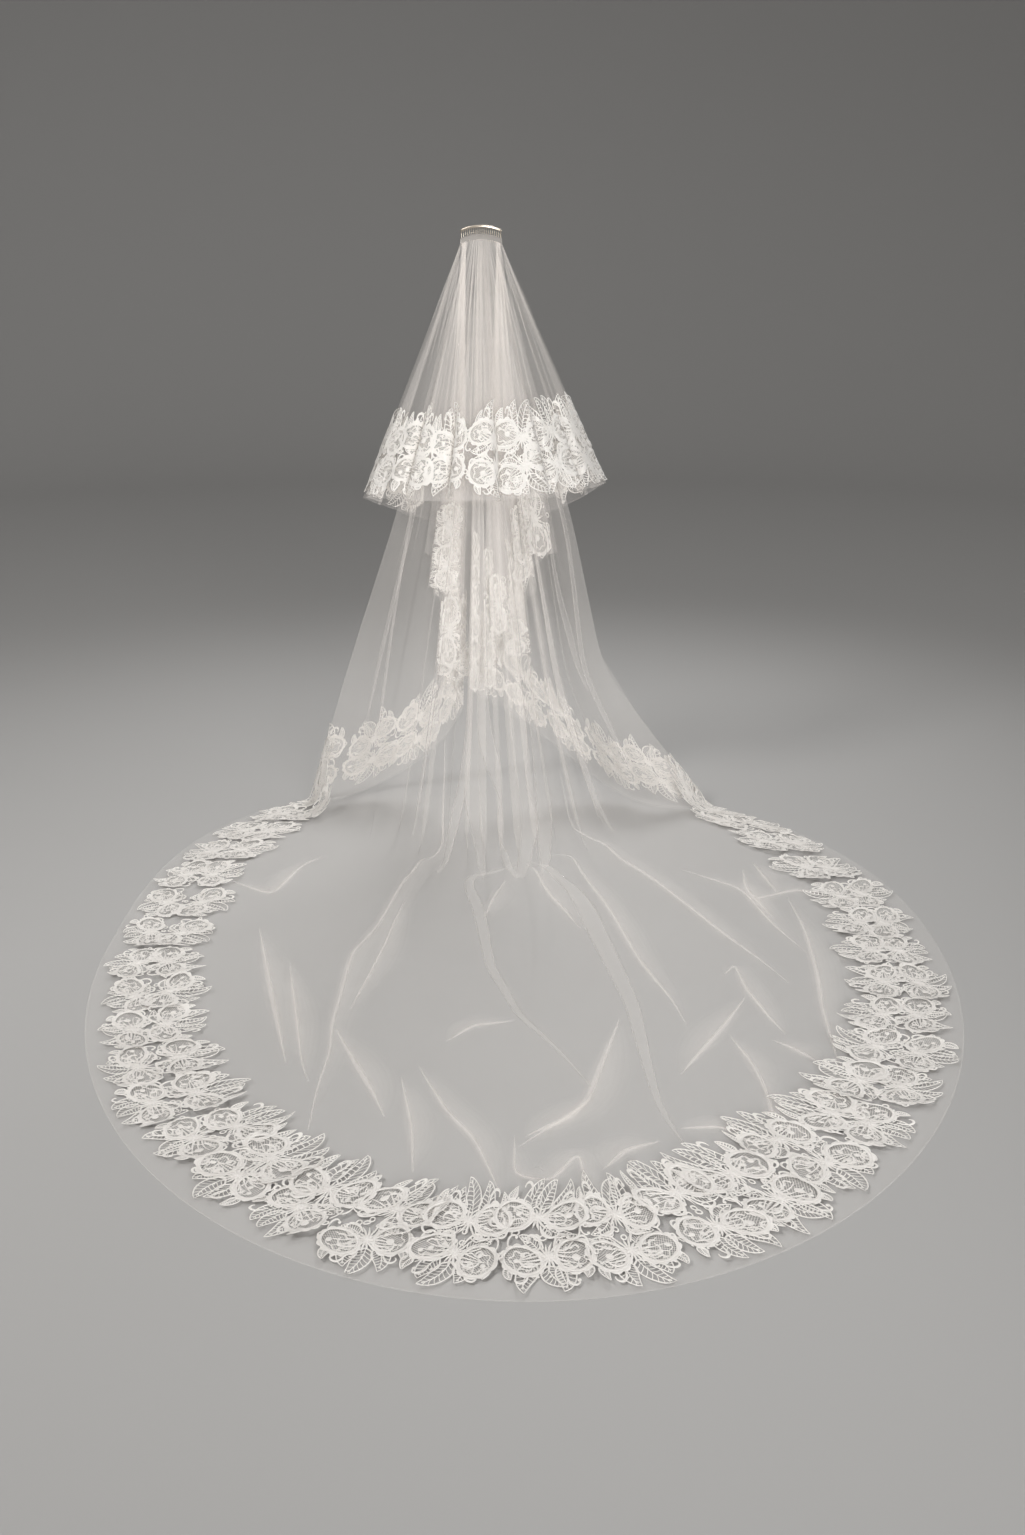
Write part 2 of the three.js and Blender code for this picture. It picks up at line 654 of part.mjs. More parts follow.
// The comb: an arched spine and tapered teeth in one piece
function comb() {
  const solid = (geometry) => {
    const bare = geometry.clone();
    bare.deleteAttribute("normal");
    bare.deleteAttribute("uv");
    const merged = mergeVertices(bare, WELD);
    return new wasm.Manifold(
      new wasm.Mesh({
        numProp: 3,
        vertProperties: merged.attributes.position.array,
        triVerts: new Uint32Array(merged.index.array),
      }),
    );
  };
  const position = [];
  const index = [];
  const sides = SPINE_SECTION.length;
  for (let k = 0; k <= SPINE_STEPS; k += 1) {
    const x = mix(-COMB_WIDTH / 2, COMB_WIDTH / 2, k / SPINE_STEPS);
    for (const corner of SPINE_SECTION)
      position.push(x, bendBack(x) + corner.y * SPINE_DEPTH, archDrop(x) + corner.z * SPINE_HEIGHT);
    if (k === SPINE_STEPS) continue;
    for (let s = 0; s < sides; s += 1) {
      const a = k * sides + s;
      const b = k * sides + ((s + 1) % sides);
      index.push(a, a + sides, b + sides, a, b + sides, b);
    }
  }
  const lastRing = SPINE_STEPS * sides;
  for (let s = 1; s < sides - 1; s += 1) {
    index.push(0, s, s + 1);
    index.push(lastRing, lastRing + s + 1, lastRing + s);
  }
  const spine = new THREE.BufferGeometry();
  spine.setAttribute("position", new THREE.Float32BufferAttribute(position, 3));
  spine.setIndex(index);
  let joined = solid(spine);
  if (joined.volume() < 0) throw new Error("the spine's faces point inwards");
  for (let k = 0; k < TOOTH_COUNT; k += 1) {
    const x = mix(-TOOTH_SPAN / 2, TOOTH_SPAN / 2, k / (TOOTH_COUNT - 1));
    const end = k === 0 || k === TOOTH_COUNT - 1;
    const root = end ? TOOTH_RADIUS.end : TOOTH_RADIUS.root;
    const tooth = new THREE.CylinderGeometry(root, TOOTH_RADIUS.tip, TOOTH_LENGTH, TOOTH_SIDES);
    tooth.rotateX(Math.PI / 2);
    tooth.translate(x, bendBack(x), archDrop(x) - TOOTH_LENGTH / 2);
    joined = joined.add(solid(tooth));
  }
  const mesh = joined.getMesh();
  const made = new THREE.BufferGeometry();
  made.setAttribute("position", new THREE.BufferAttribute(mesh.vertProperties, 3));
  made.setIndex(new THREE.BufferAttribute(mesh.triVerts, 1));
  made.computeVertexNormals();
  return made;
}

// The gathered header: a strip with ribbed front, along the comb's line
function header() {
  const grid = (y, rib) => {
    const made = [];
    for (let k = 0; k <= HEADER_STEPS; k += 1) {
      const x = mix(-HEADER_HALF_WIDTH, HEADER_HALF_WIDTH, k / HEADER_STEPS);
      const out = rib * (k % 2);
      const at = (drop) => vec(x, bendBack(x) + y - out, archDrop(x) - drop);
      made.push([at(HEADER_TOP), at((HEADER_TOP + HEADER_BOTTOM) / 2), at(HEADER_BOTTOM)]);
    }
    return made;
  };
  return sheetBetween(grid(HEADER_FRONT + HEADER_RIB, HEADER_RIB), grid(HEADER_BACK, 0));
}

const veil = new THREE.Group();

function place(name, geometry, paint) {
  const mesh = new THREE.Mesh(geometry, paint);
  mesh.name = name;
  veil.add(mesh);
}

const two = (n) => String(n).padStart(2, "0");

place("comb", comb(), metalPaint);
place("gathered_header", header(), tullePaint);

const long = longTierGrid();
place("long_tier_tulle", tulle(long.grid), tullePaint);
const short = shortTierGrid();
place("short_tier_tulle", tulle(short), tullePaint);

// Lace of the short tier, one motif on each two folds
for (let k = 0; k < (SHORT_FOLDS.length - 1) / 2; k += 1) {
  const piece = { first: k * LACE_STEPS, last: (k + 1) * LACE_STEPS };
  place("short_tier_lace_" + two(k + 1), laceOnGrid(short, piece), lacePaint);
}

// Lace of the long tier's cascades and arches and of the ends of the train, which rise off the floor
for (const piece of long.pieces) place(piece.name, laceOnGrid(long.grid, piece), lacePaint);

// Lace of the train, in motifs of even length along the hem
function evenTurns(from, to) {
  const steps = HEM_MEASURING_STEPS;
  const turns = [];
  const lengths = [0];
  for (let k = 0; k <= steps; k += 1) {
    turns.push(mix(from, to, k / steps));
    if (k > 0) lengths.push(lengths[k - 1] + trainHem(turns[k]).distanceTo(trainHem(turns[k - 1])));
  }
  const total = lengths[steps];
  const count = Math.round(total / LACE_PERIOD);
  const made = [];
  for (let m = 0; m <= count; m += 1) {
    let k = 0;
    while (k < steps - 1 && lengths[k + 1] < (total * m) / count) k += 1;
    const between = ((total * m) / count - lengths[k]) / (lengths[k + 1] - lengths[k]);
    made.push(mix(turns[k], turns[k + 1], between));
  }
  return made;
}

const motifTurns = evenTurns(LONG_FOLDS[0].turn, LONG_FOLDS[LONG_FOLDS.length - 1].turn);
for (let m = 0; m < motifTurns.length - 1; m += 1)
  place("train_lace_" + two(m + 1), laceOnFloor(motifTurns[m], motifTurns[m + 1]), lacePaint);

export default veil;
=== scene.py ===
"""A two-tier bridal veil on a hair comb: sheer tulle, corded lace along every hem, and a train on the floor.

Metres, +Z up. The origin is the middle of the comb's spine. The train lies towards -Y.
"""

import math

import bpy
import numpy as np
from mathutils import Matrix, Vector


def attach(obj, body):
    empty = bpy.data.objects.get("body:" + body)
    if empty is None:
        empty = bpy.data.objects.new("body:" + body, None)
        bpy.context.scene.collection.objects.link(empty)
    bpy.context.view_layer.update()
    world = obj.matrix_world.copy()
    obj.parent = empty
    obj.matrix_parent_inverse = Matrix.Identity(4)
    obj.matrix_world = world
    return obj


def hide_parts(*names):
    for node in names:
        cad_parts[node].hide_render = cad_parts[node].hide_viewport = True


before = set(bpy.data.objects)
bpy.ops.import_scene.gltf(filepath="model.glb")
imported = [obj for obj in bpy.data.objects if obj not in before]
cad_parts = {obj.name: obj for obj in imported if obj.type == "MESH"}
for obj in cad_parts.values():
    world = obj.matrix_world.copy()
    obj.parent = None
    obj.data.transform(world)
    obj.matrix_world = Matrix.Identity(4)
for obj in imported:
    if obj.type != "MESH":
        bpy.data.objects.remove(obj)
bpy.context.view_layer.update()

MM = 0.001
RNG = np.random.default_rng(11)

# Sizes of the construction, in millimetres
COMB_ABOVE_FLOOR = 1500
TULLE = 1.2
COMB_WIDTH = 102
COMB_ARCH_RADIUS = 118
COMB_BEND_RADIUS = 160
SPINE_HEIGHT = 6
SPINE_DEPTH = 3.6
TOOTH_COUNT = 20
TOOTH_LENGTH = 38
TOOTH_SPAN = 96
HEADER_TOP = 18
HEADER_BOTTOM = 29
HEADER_HALF_WIDTH = 51
LONG_TIER_ROOT = -2.9
SHORT_TIER_ROOT = -5.1
PIECE_GAP = 0.4
FLOOR_BEND = 110
BEND_SHARE = 0.6

# Hem of the train, a superellipse
TRAIN = dict(centre_x=100, centre_y=-930, half_width=908, front_half=1270, back_half=1100,
             front_power=2, back_left_power=3, back_right_power=2.2)

# Where the hanging cloth meets the floor: turn of the train in degrees from the front, x, y
FEET = [(-149.5, -478, 66), (-140, -425, -45), (-125, -350, -180), (-105, -270, -290), (-85, -205, -370),
        (-60, -130, -440), (-30, -40, -490), (0, 50, -510), (30, 140, -480), (60, 225, -410),
        (85, 300, -330), (105, 370, -250), (125, 460, -140), (140, 560, -30), (147.9, 611, 16)]

# Hems of the open side: x, y, height above the floor
LEFT_ARCH = [(-60, 130, 240), (-84, 138, 200), (-130, 142, 130), (-228, 135, 62), (-310, 122, 20),
             (-400, 66, 0), (-478, 66, 0)]
RIGHT_ARCH = [(611, 16, 0), (520, -8, 0), (420, 40, 0), (333, 125, 26), (222, 142, 112), (140, 144, 178),
              (48, 130, 250)]
LEFT_CASCADE = [(-150, 8, 700), (-90, 20, 650), (-138, 34, 590), (-62, 48, 520), (-120, 64, 440),
                (-44, 80, 370), (-112, 102, 300), (-60, 130, 240)]
RIGHT_CASCADE = [(48, 130, 250), (-30, 102, 296), (60, 84, 350), (4, 68, 410), (128, 54, 450),
                 (66, 40, 530), (146, 28, 600), (112, 18, 650), (190, 8, 705)]

# Hem of the short tier: x, y, height, share of the header's half width
SHORT_HEM = [(-120, 150, 745, -1), (-222, 95, 788, -0.99), (-290, 0, 833, -0.97), (-250, -110, 850, -0.8),
             (-150, -205, 860, -0.45), (0, -245, 864, 0), (150, -215, 870, 0.45), (256, -120, 878, 0.8),
             (300, 0, 872, 0.97), (238, 85, 815, 0.99), (150, 140, 768, 1)]

GATHER = dict(train=0.6, arch=0.74, cascade=0.9)

# Folds of the long tier: turn where it begins, depth, height on the floor, how far it runs on there
LONG_FOLDS = [(-112, 12, 4, 200), (-90, 16, 6, 400), (-68, 24, 16, 1100), (-48, 12, 5, 500),
              (-28, 30, 10, 500), (-13, 36, 14, 900), (1, 36, 12, 600), (15, 32, 16, 1100),
              (30, 14, 8, 500), (50, 18, 14, 900), (72, 16, 6, 400), (92, 14, 4, 200), (112, 0, 0, 1)]
# Folds of the short tier: share of its hem where it begins, depth at the hem
SHORT_FOLDS = [(0, 10), (0.08, 16), (0.17, 22), (0.27, 34), (0.37, 24), (0.45, 34), (0.53, 34), (0.61, 24),
               (0.69, 26), (0.77, 22), (0.85, 16), (0.93, 10), (1, 0)]
FOLD_TOP = (0.3, 0.7)
FOLD_VALLEY = 0.6
# How far the sides of a fold lean over its valleys, in shares of its depth
FOLD_LEAN = dict(long=0.5, short=0.7)

# Share of the way out at each share of the way down: left, middle, right
FLARE = [(0, 0, 0, 0), (0.22, 0.21, 0.15, 0.16), (0.46, 0.43, 0.34, 0.33), (0.72, 0.72, 0.61, 0.47),
         (0.86, 0.86, 0.79, 0.73), (1, 1, 1, 1)]
SIDE_TURN = (60, 125)
FLAT_BEFORE_HEM = 320
FOLD_FADE = 250

# Lace band: margin from the hem and width
BAND = dict(short=(8, 214), hanging=(18, 186))
TRAIN_BAND = [(-112, 22, 178), (-75, 24, 185), (-35, 24, 240), (0, 18, 270), (35, 22, 280), (75, 24, 190),
              (112, 22, 178)]

# Fine grids: columns and rows
COLUMNS = dict(fold=12, arch=40, train=320, short=250)
ROWS = dict(hanging=30, floor=70, edges=32, short=30)
BAND_STEP = 15
PERIOD = 168
BAND_ROWS = 22
SHORT_BAND_ROWS = 17
LACE_LIFT = 1.3
BROAD_CREASE = 30
HEM_WIDTH = 3.0
# Fine gathers that fade out on the way down
GATHERS = dict(train=50, cascade=20, arch=8, short=62)

# Flat folds of the cascades, which face the front: left, right, heights of foot and top of lace, y
LEFT_FACING = [(-140, -59, 611, 825, -26), (-125, -62, 398, 579, 10), (-125, -34, 344, 440, 40)]
RIGHT_FACING = [(101, 190, 700, 878, -26), (80, 128, 675, 817, -2), (18, 68, 494, 640, -30),
                (57, 125, 427, 520, 8), (2, 36, 344, 705, -12), (-36, -10, 339, 750, -22)]
FACING_GATHER = 0.25
FACING_THICKNESS = 5.0
# Heights where the folds begin to narrow, where they have done so, and where they end
FACING_TAPER = (900, 1200, 1220)

# More layers of the short tier behind its middle: share of the way down, then the shares of its hem there
SHORT_PANELS = [[(0.25, 0.38, 0.60), (1, 0.40, 0.58)], [(0.35, 0.42, 0.54), (1, 0.43, 0.535)],
                [(0.45, 0.46, 0.58), (1, 0.475, 0.56)]]

# Creases pressed into the train: width, height, and points on the floor in metres
CREASES = [
    (14, 9, [(-0.10, -0.10), (-0.10, -0.37), (-0.15, -0.49), (-0.19, -0.61), (-0.23, -0.85), (-0.27, -0.97),
             (-0.28, -1.33), (-0.27, -1.42), (-0.28, -1.56), (-0.28, -1.72)]),
    (8, 5, [(-0.17, -0.69), (-0.21, -0.98), (-0.25, -1.24)]),
    (9, 6, [(0.06, -0.56), (0.03, -0.70), (0.01, -0.79)]),
    (34, 6, [(0.085, -0.46), (0.03, -0.53), (-0.035, -0.56), (0.00, -0.74), (0.03, -1.04), (0.09, -1.27),
             (0.17, -1.43), (0.22, -1.56)]),
    (56, 6, [(0.115, -0.45), (0.16, -0.50), (0.215, -0.60), (0.245, -0.72), (0.28, -0.96), (0.32, -1.23),
             (0.33, -1.49), (0.34, -1.64), (0.37, -1.76)]),
    (9, 6, [(0.11, -0.47), (0.17, -0.65), (0.23, -0.84)]),
    (10, 6, [(0.17, -0.40), (0.22, -0.43), (0.30, -0.75), (0.35, -1.02), (0.40, -1.19), (0.42, -1.31)]),
    (10, 8, [(0.20, -0.17), (0.32, -0.38), (0.42, -0.55), (0.55, -0.88), (0.61, -1.01), (0.65, -1.12)]),
    (16, 5, [(0.29, -1.28), (0.24, -1.49), (0.21, -1.62), (0.15, -1.70), (0.09, -1.77)]),
    (9, 4, [(-0.05, -1.38), (0.00, -1.31), (0.08, -1.29)]),
    (10, 5, [(-0.10, -1.48), (-0.04, -1.65), (0.01, -1.74), (0.04, -1.85), (0.06, -1.93)]),
    (9, 4, [(-0.13, -1.52), (-0.10, -1.70), (-0.09, -1.85)]),
    (10, 4, [(-0.60, -0.54), (-0.49, -0.63), (-0.44, -0.44), (-0.39, -0.39)]),
    (16, 5, [(-0.49, -0.83), (-0.43, -1.11), (-0.35, -1.47)]),
    (10, 4, [(-0.40, -1.01), (-0.32, -1.47), (-0.30, -1.54)]),
    (14, 5, [(-0.27, -1.33), (-0.18, -1.57), (-0.15, -1.67)]),
    (9, 4, [(0.67, -0.42), (0.70, -0.61)]),
    (10, 4, [(0.64, -0.47), (0.63, -0.59), (0.67, -0.77)]),
    (10, 5, [(0.64, -0.66), (0.75, -0.60), (0.82, -0.64)]),
    (13, 6, [(0.72, -0.65), (0.73, -0.83), (0.72, -1.06), (0.70, -1.25), (0.69, -1.48)]),
    (10, 5, [(0.52, -1.08), (0.55, -1.02), (0.56, -1.16), (0.59, -1.28), (0.61, -1.35)]),
    (9, 4, [(0.50, -1.35), (0.53, -1.47), (0.54, -1.60)]),
    (9, 4, [(0.58, -1.37), (0.62, -1.41), (0.66, -1.47)]),
    (14, 5, [(0.39, -1.51), (0.49, -1.32), (0.55, -1.19)]),
    (9, 4, [(0.49, -0.47), (0.62, -0.59), (0.66, -0.79), (0.71, -0.95)]),
    (9, 4, [(0.37, -1.71), (0.43, -1.70), (0.49, -1.72)]),
    (13, 5, [(0.54, -1.52), (0.54, -1.67), (0.55, -1.80), (0.55, -1.85)]),
    (9, 4, [(0.64, -1.52), (0.69, -1.64)]),
    (14, 5, [(0.10, -1.74), (0.17, -1.68), (0.22, -1.60)]),
    (9, 4, [(0.08, -1.74), (0.08, -1.86), (0.14, -1.88), (0.19, -1.79), (0.20, -1.91), (0.25, -1.92)]),
    (14, 4, [(0.23, -1.84), (0.27, -1.78), (0.33, -1.75)]),
]

# Folded panels of the long tier: share of the way down, then the turns of its two edges there
PANELS = [
    [(0, -22, -17), (0.3, -26, -15), (0.73, -28, -10), (1, -15, -13.5)],
    [(0, -9, -6), (0.73, -10, -5.5), (1, 8.5, 12)],
    [(0, 15, 20), (0.3, 14, 28), (0.73, 14, 36), (1, 9.5, 17)],
    [(0, 30, 34), (0.3, 34, 42), (0.73, 38, 50), (0.92, 33, 41), (1, 27, 28.5)],
    [(0, -34, -31), (0.73, -33, -29), (0.82, -38, -32), (1, -50, -47)],
    [(0.15, 92, 93), (0.53, 91, 95), (0.69, 92, 96), (0.92, 94, 95)],
    [(0.2, 116, 117), (0.54, 116, 120), (0.7, 124, 128), (0.8, 127, 128)],
    [(0.3, 137, 138), (0.565, 137, 141), (0.85, 127, 131), (0.97, 125, 126)],
    [(0.2, -129, -128), (0.59, -130, -127), (0.83, -128.5, -126.5), (0.92, -127.5, -127)],
    [(0.15, -138, -137), (0.43, -138, -135.5), (0.82, -119, -117), (0.9, -117.5, -117)],
    [(0.1, -72, -71), (0.6, -76, -73), (0.9, -75, -74)],
    [(0.1, 64, 65), (0.6, 66, 70), (0.93, 68, 69)],
]


def smooth(t):
    t = np.clip(t, 0, 1)
    return t * t * (3 - 2 * t)


def fade(value, start, end):
    """From 0 at start to 1 at end, softly."""
    return smooth((value - start) / (end - start))


def mix(a, b, t):
    return a + (b - a) * t


def unit(v):
    return v / np.maximum(np.linalg.norm(v, axis=-1, keepdims=True), 1e-9)


def spread(rows, count):
    """A table's columns at count places spaced evenly down it."""
    rows = np.asarray(rows, float)
    at = np.linspace(0, len(rows) - 1, count)
    return np.stack([np.interp(at, np.arange(len(rows)), column) for column in rows.T], 1)


def soften(values, reach):
    """Averages neighbours along the first axis and keeps the two ends where they are."""
    values = np.asarray(values, float)
    flat = values.reshape(len(values), -1)
    before = 2 * flat[0] - flat[reach:0:-1]
    after = 2 * flat[-1] - flat[-2:-reach - 2:-1]
    padded = np.concatenate([before, flat, after])
    weights = 1 - np.abs(np.arange(-reach, reach + 1)) / (reach + 1)
    weights /= weights.sum()
    made = sum(w * padded[k:k + len(flat)] for k, w in enumerate(weights))
    return made.reshape(values.shape)


def directions(points):
    """Unit directions from each entry of the first axis to the next."""
    return unit(np.gradient(points, axis=0))


def left_of(ahead):
    """Flat directions to the left of others."""
    return np.stack([-ahead[:, 1], ahead[:, 0]], 1)


def lengths_of(points):
    """How far along a path each of its points lies."""
    steps = np.linalg.norm(np.diff(points, axis=0), axis=1)
    return np.concatenate([[0], np.cumsum(steps)])


def at_lengths(points, lengths, where):
    """Points of a path at given distances along it."""
    return np.stack([np.interp(where, lengths, column) for column in points.T], 1)


# The comb's line, in millimetres
def arch_drop(x):
    return np.sqrt(COMB_ARCH_RADIUS**2 - x * x) - COMB_ARCH_RADIUS


def bend_back(x):
    return x * x / (2 * COMB_BEND_RADIUS)


def header_point(share, root):
    x = share * HEADER_HALF_WIDTH
    return np.array([x, bend_back(x) + root, arch_drop(x) - HEADER_BOTTOM - PIECE_GAP])


def train_hem(turn):
    """Points of the train's hem at angles from the front, in millimetres."""
    a = np.radians(turn)
    back = np.where(a < 0, TRAIN["back_left_power"], TRAIN["back_right_power"])
    power = 2 / np.where(np.cos(a) >= 0, TRAIN["front_power"], back)
    across = np.sign(np.sin(a)) * np.abs(np.sin(a)) ** power
    ahead = np.sign(np.cos(a)) * np.abs(np.cos(a)) ** power
    half = np.where(np.cos(a) >= 0, TRAIN["front_half"], TRAIN["back_half"])
    x = TRAIN["centre_x"] + TRAIN["half_width"] * across
    y = TRAIN["centre_y"] - half * ahead
    return np.stack([x, y, np.full_like(x, TULLE / 2 - COMB_ABOVE_FLOOR)], -1)


FLARE_STEPS = 120
FLARE_AT = np.linspace(0, 1, FLARE_STEPS + 1)
FLARE_CURVES = soften(np.stack([np.interp(FLARE_AT, [r[0] for r in FLARE], [r[k] for r in FLARE])
                                for k in (1, 2, 3)], 1), 7)


def flare(down, side):
    left, middle, right = (np.interp(down, FLARE_AT, curve) for curve in FLARE_CURVES.T)
    return mix(middle, left, -side) if side < 0 else mix(middle, right, side)


HANG_STEPS = 40
CORNER_STEPS = 10
FLOOR_STEPS = 30
# Run on the floor over which threads come to meet the hem square on
SQUARE_ON = (300, 800)


def hang(top, foot, side):
    """One thread of hanging cloth, from top to foot."""
    t = np.linspace(0, 1, HANG_STEPS + 1)
    reach = (top[2] - foot[2]) / COMB_ABOVE_FLOOR
    out = flare(t * reach, side) / flare(reach, side)
    points = np.empty((len(t), 3))
    points[:, :2] = top[:2] + (foot[:2] - top[:2]) * out[:, None]
    points[:, 2] = mix(top[2], foot[2], t)
    return points


def bezier(a, b, c, d, steps):
    t = np.linspace(0, 1, steps + 1)[:, None]
    return (1 - t) ** 3 * a + 3 * (1 - t) ** 2 * t * b + 3 * (1 - t) * t * t * c + t**3 * d


def trail(points, hem, inward):
    """A thread that turns at its foot, runs on along the floor and meets the hem square on."""
    foot = points[-1]
    run = np.linalg.norm(hem - foot)
    if run < 1:
        return points
    back = unit(mix(unit(foot - hem), inward, fade(run, *SQUARE_ON)))
    straight = min(BAND_STEP * BAND_ROWS + 10, 0.55 * run)
    knee = hem + back * straight
    ahead = unit(knee - foot)
    bend = min(FLOOR_BEND, BEND_SHARE * run, 0.8 * np.linalg.norm(knee - foot))
    hanging = points[points[:, 2] > foot[2] + bend]
    end = foot + ahead * bend
    corner = bezier(hanging[-1], mix(hanging[-1], foot, 2 / 3), mix(end, foot, 2 / 3), end, CORNER_STEPS)[1:]
    reach = 0.4 * np.linalg.norm(knee - end)
    floor = bezier(end, end + ahead * reach, knee + back * reach, knee, FLOOR_STEPS)[1:]
    return np.concatenate([hanging, corner, floor, hem[None]])


def fold_columns(folds):
    """A valley where each fold begins and the two edges of its flat top, then the end of the last fold."""
    made = []
    for k, (start, depth, *on_floor) in enumerate(folds[:-1]):
        before = folds[k - 1][1] if k else 0
        flat = [0, *on_floor[1:]] if on_floor else []
        made.append([start, -FOLD_VALLEY * min(before, depth), *flat])
        for share in FOLD_TOP:
            made.append([mix(start, folds[k + 1][0], share), depth, *on_floor])
    made.append(list(folds[-1]))
    return np.array(made, float)


def ease(at, known, values):
    """Values between known places, with level tops and valleys."""
    k = np.clip(np.searchsorted(known, at, side="right") - 1, 0, len(known) - 2)
    t = smooth((at - known[k]) / (known[k + 1] - known[k]))
    return np.where(at < known[0], 0, np.where(at > known[-1], 0, mix(values[k], values[k + 1], t)))


def lean_of(at, folds):
    """Sideways lean of the folds' flanks at each place: towards the valley on both sides."""
    starts, depths = np.array([fold[:2] for fold in folds], float).T
    k = np.clip(np.searchsorted(starts, at, side="right") - 1, 0, len(starts) - 2)
    phase = (at - starts[k]) / (starts[k + 1] - starts[k])
    made = -np.sin(2 * np.pi * phase) * depths[k]
    return np.where((at < starts[0]) | (at > starts[-1]), 0, made)


def normals_of(grid):
    """Outward direction at each point of a grid whose columns run down the cloth."""
    across = np.gradient(grid, axis=0)
    down = np.gradient(grid, axis=1)
    return unit(np.cross(down, across))


# Small waves of the cloth on the floor: how many, how close together, and what evens out their sum
WAVES = 26
WAVE_RANGE = (9, 34)
WAVE_SUM = 11
WAVE_ANGLES = RNG.uniform(0, 2 * np.pi, WAVES)
WAVE_NUMBERS = RNG.uniform(*WAVE_RANGE, WAVES)
WAVE_PHASES = RNG.uniform(0, 2 * np.pi, WAVES)


def ripple(x, y):
    """Soft uneven waves of the cloth on the floor, from 0 to about 1, for x and y in metres."""
    total = 0
    for angle, number, phase in zip(WAVE_ANGLES, WAVE_NUMBERS, WAVE_PHASES):
        away = x * np.cos(angle) + y * np.sin(angle)
        total = total + np.sin(number * away + phase) / np.sqrt(number / WAVE_RANGE[0])
    return smooth(0.5 + total / WAVE_SUM) ** 2


def near_line(x, y, line):
    """Distance of points from a line of points, in metres."""
    least = np.full(x.shape, 9.0)
    for (ax, ay), (bx, by) in zip(line[:-1], line[1:]):
        dx, dy = bx - ax, by - ay
        t = np.clip(((x - ax) * dx + (y - ay) * dy) / (dx * dx + dy * dy), 0, 1)
        least = np.minimum(least, np.hypot(x - ax - t * dx, y - ay - t * dy))
    return least


RIPPLE_HEIGHT = 8.0
# Share of the waves that is left near the hem, and the distances from it between which they grow
CALM = 0.25
CALM_REACH = (200, 450)
# Heights between which the cloth goes from lying to hanging
LYING = (20, 80)
FLAT_HEM = 30
FLOOR = -COMB_ABOVE_FLOOR * MM
LOWEST = FLOOR + 0.0002


def settle(grid, left):
    """Adds the small waves and the rise under each crease where the cloth lies on the floor."""
    x, y = grid[..., 0] * MM, grid[..., 1] * MM
    height = grid[..., 2] + COMB_ABOVE_FLOOR
    lying = 1 - fade(height, *LYING)
    rise = RIPPLE_HEIGHT * ripple(x, y) * mix(CALM, 1, fade(left, *CALM_REACH))
    for width, high, line in CREASES:
        away = near_line(x, y, line)
        reach = (width * 0.7 + 14) * MM
        rise = np.maximum(rise, high * np.exp(-(away / reach) ** 2))
    grid = grid.copy()
    grid[..., 2] += lying * rise * smooth(left / FLAT_HEM)
    return grid


# The long tier: fine columns of threads
def column_grid(threads, feet, hanging, floor, band):
    """Threads resampled into rows: down to the knee, on to the lace band, then evenly to the hem."""
    points, left, run = [], [], []
    for thread, foot_at in zip(threads, feet):
        lengths = lengths_of(thread)
        total = lengths[-1]
        top = total - BAND_STEP * band
        knee = min(foot_at, 0.85 * top)
        on_floor = mix(knee, top, np.arange(1, floor + 1) / (floor + 1))
        in_band = total - BAND_STEP * np.arange(band, -1, -1.0)
        s = np.concatenate([np.linspace(0, knee, hanging), on_floor, in_band])
        points.append(at_lengths(thread, lengths, s))
        left.append(total - s)
        run.append(s)
    return np.array(points), np.array(left), np.array(run)


def edge_columns(cascade, arch, shares, last_side):
    """Columns of one cascade and its arch, from the free edge to the train."""
    folds = soften(spread(cascade, (len(cascade) - 1) * COLUMNS["fold"] + 1), 3)
    hem = soften(spread(arch, COLUMNS["arch"] + 1), 4)
    table = np.concatenate([folds, hem[1:]])
    share = np.concatenate([np.linspace(shares[0], shares[1], len(folds)),
                            np.linspace(shares[1], shares[2], len(hem))[1:]])
    side = np.concatenate([np.zeros(len(folds)), np.linspace(0, last_side, len(hem))[1:]])
    threads = []
    for (x, y, height), s, sd in zip(table, share, side):
        foot = np.array([x, y, max(height, TULLE / 2) - COMB_ABOVE_FLOOR])
        threads.append(hang(header_point(s, LONG_TIER_ROOT), foot, sd))
    feet = [lengths_of(t)[-1] for t in threads]
    grid, _, _ = column_grid(threads, feet, ROWS["edges"], 0, BAND_ROWS)
    return grid, len(folds)


def train_turns():
    """Angles of the train's columns, evenly along its hem."""
    fine = np.linspace(FEET[0][0], FEET[-1][0], 2400)
    lengths = lengths_of(train_hem(fine))
    return np.interp(np.linspace(0, lengths[-1], COLUMNS["train"] + 1), lengths, fine)


TURNS = train_turns()


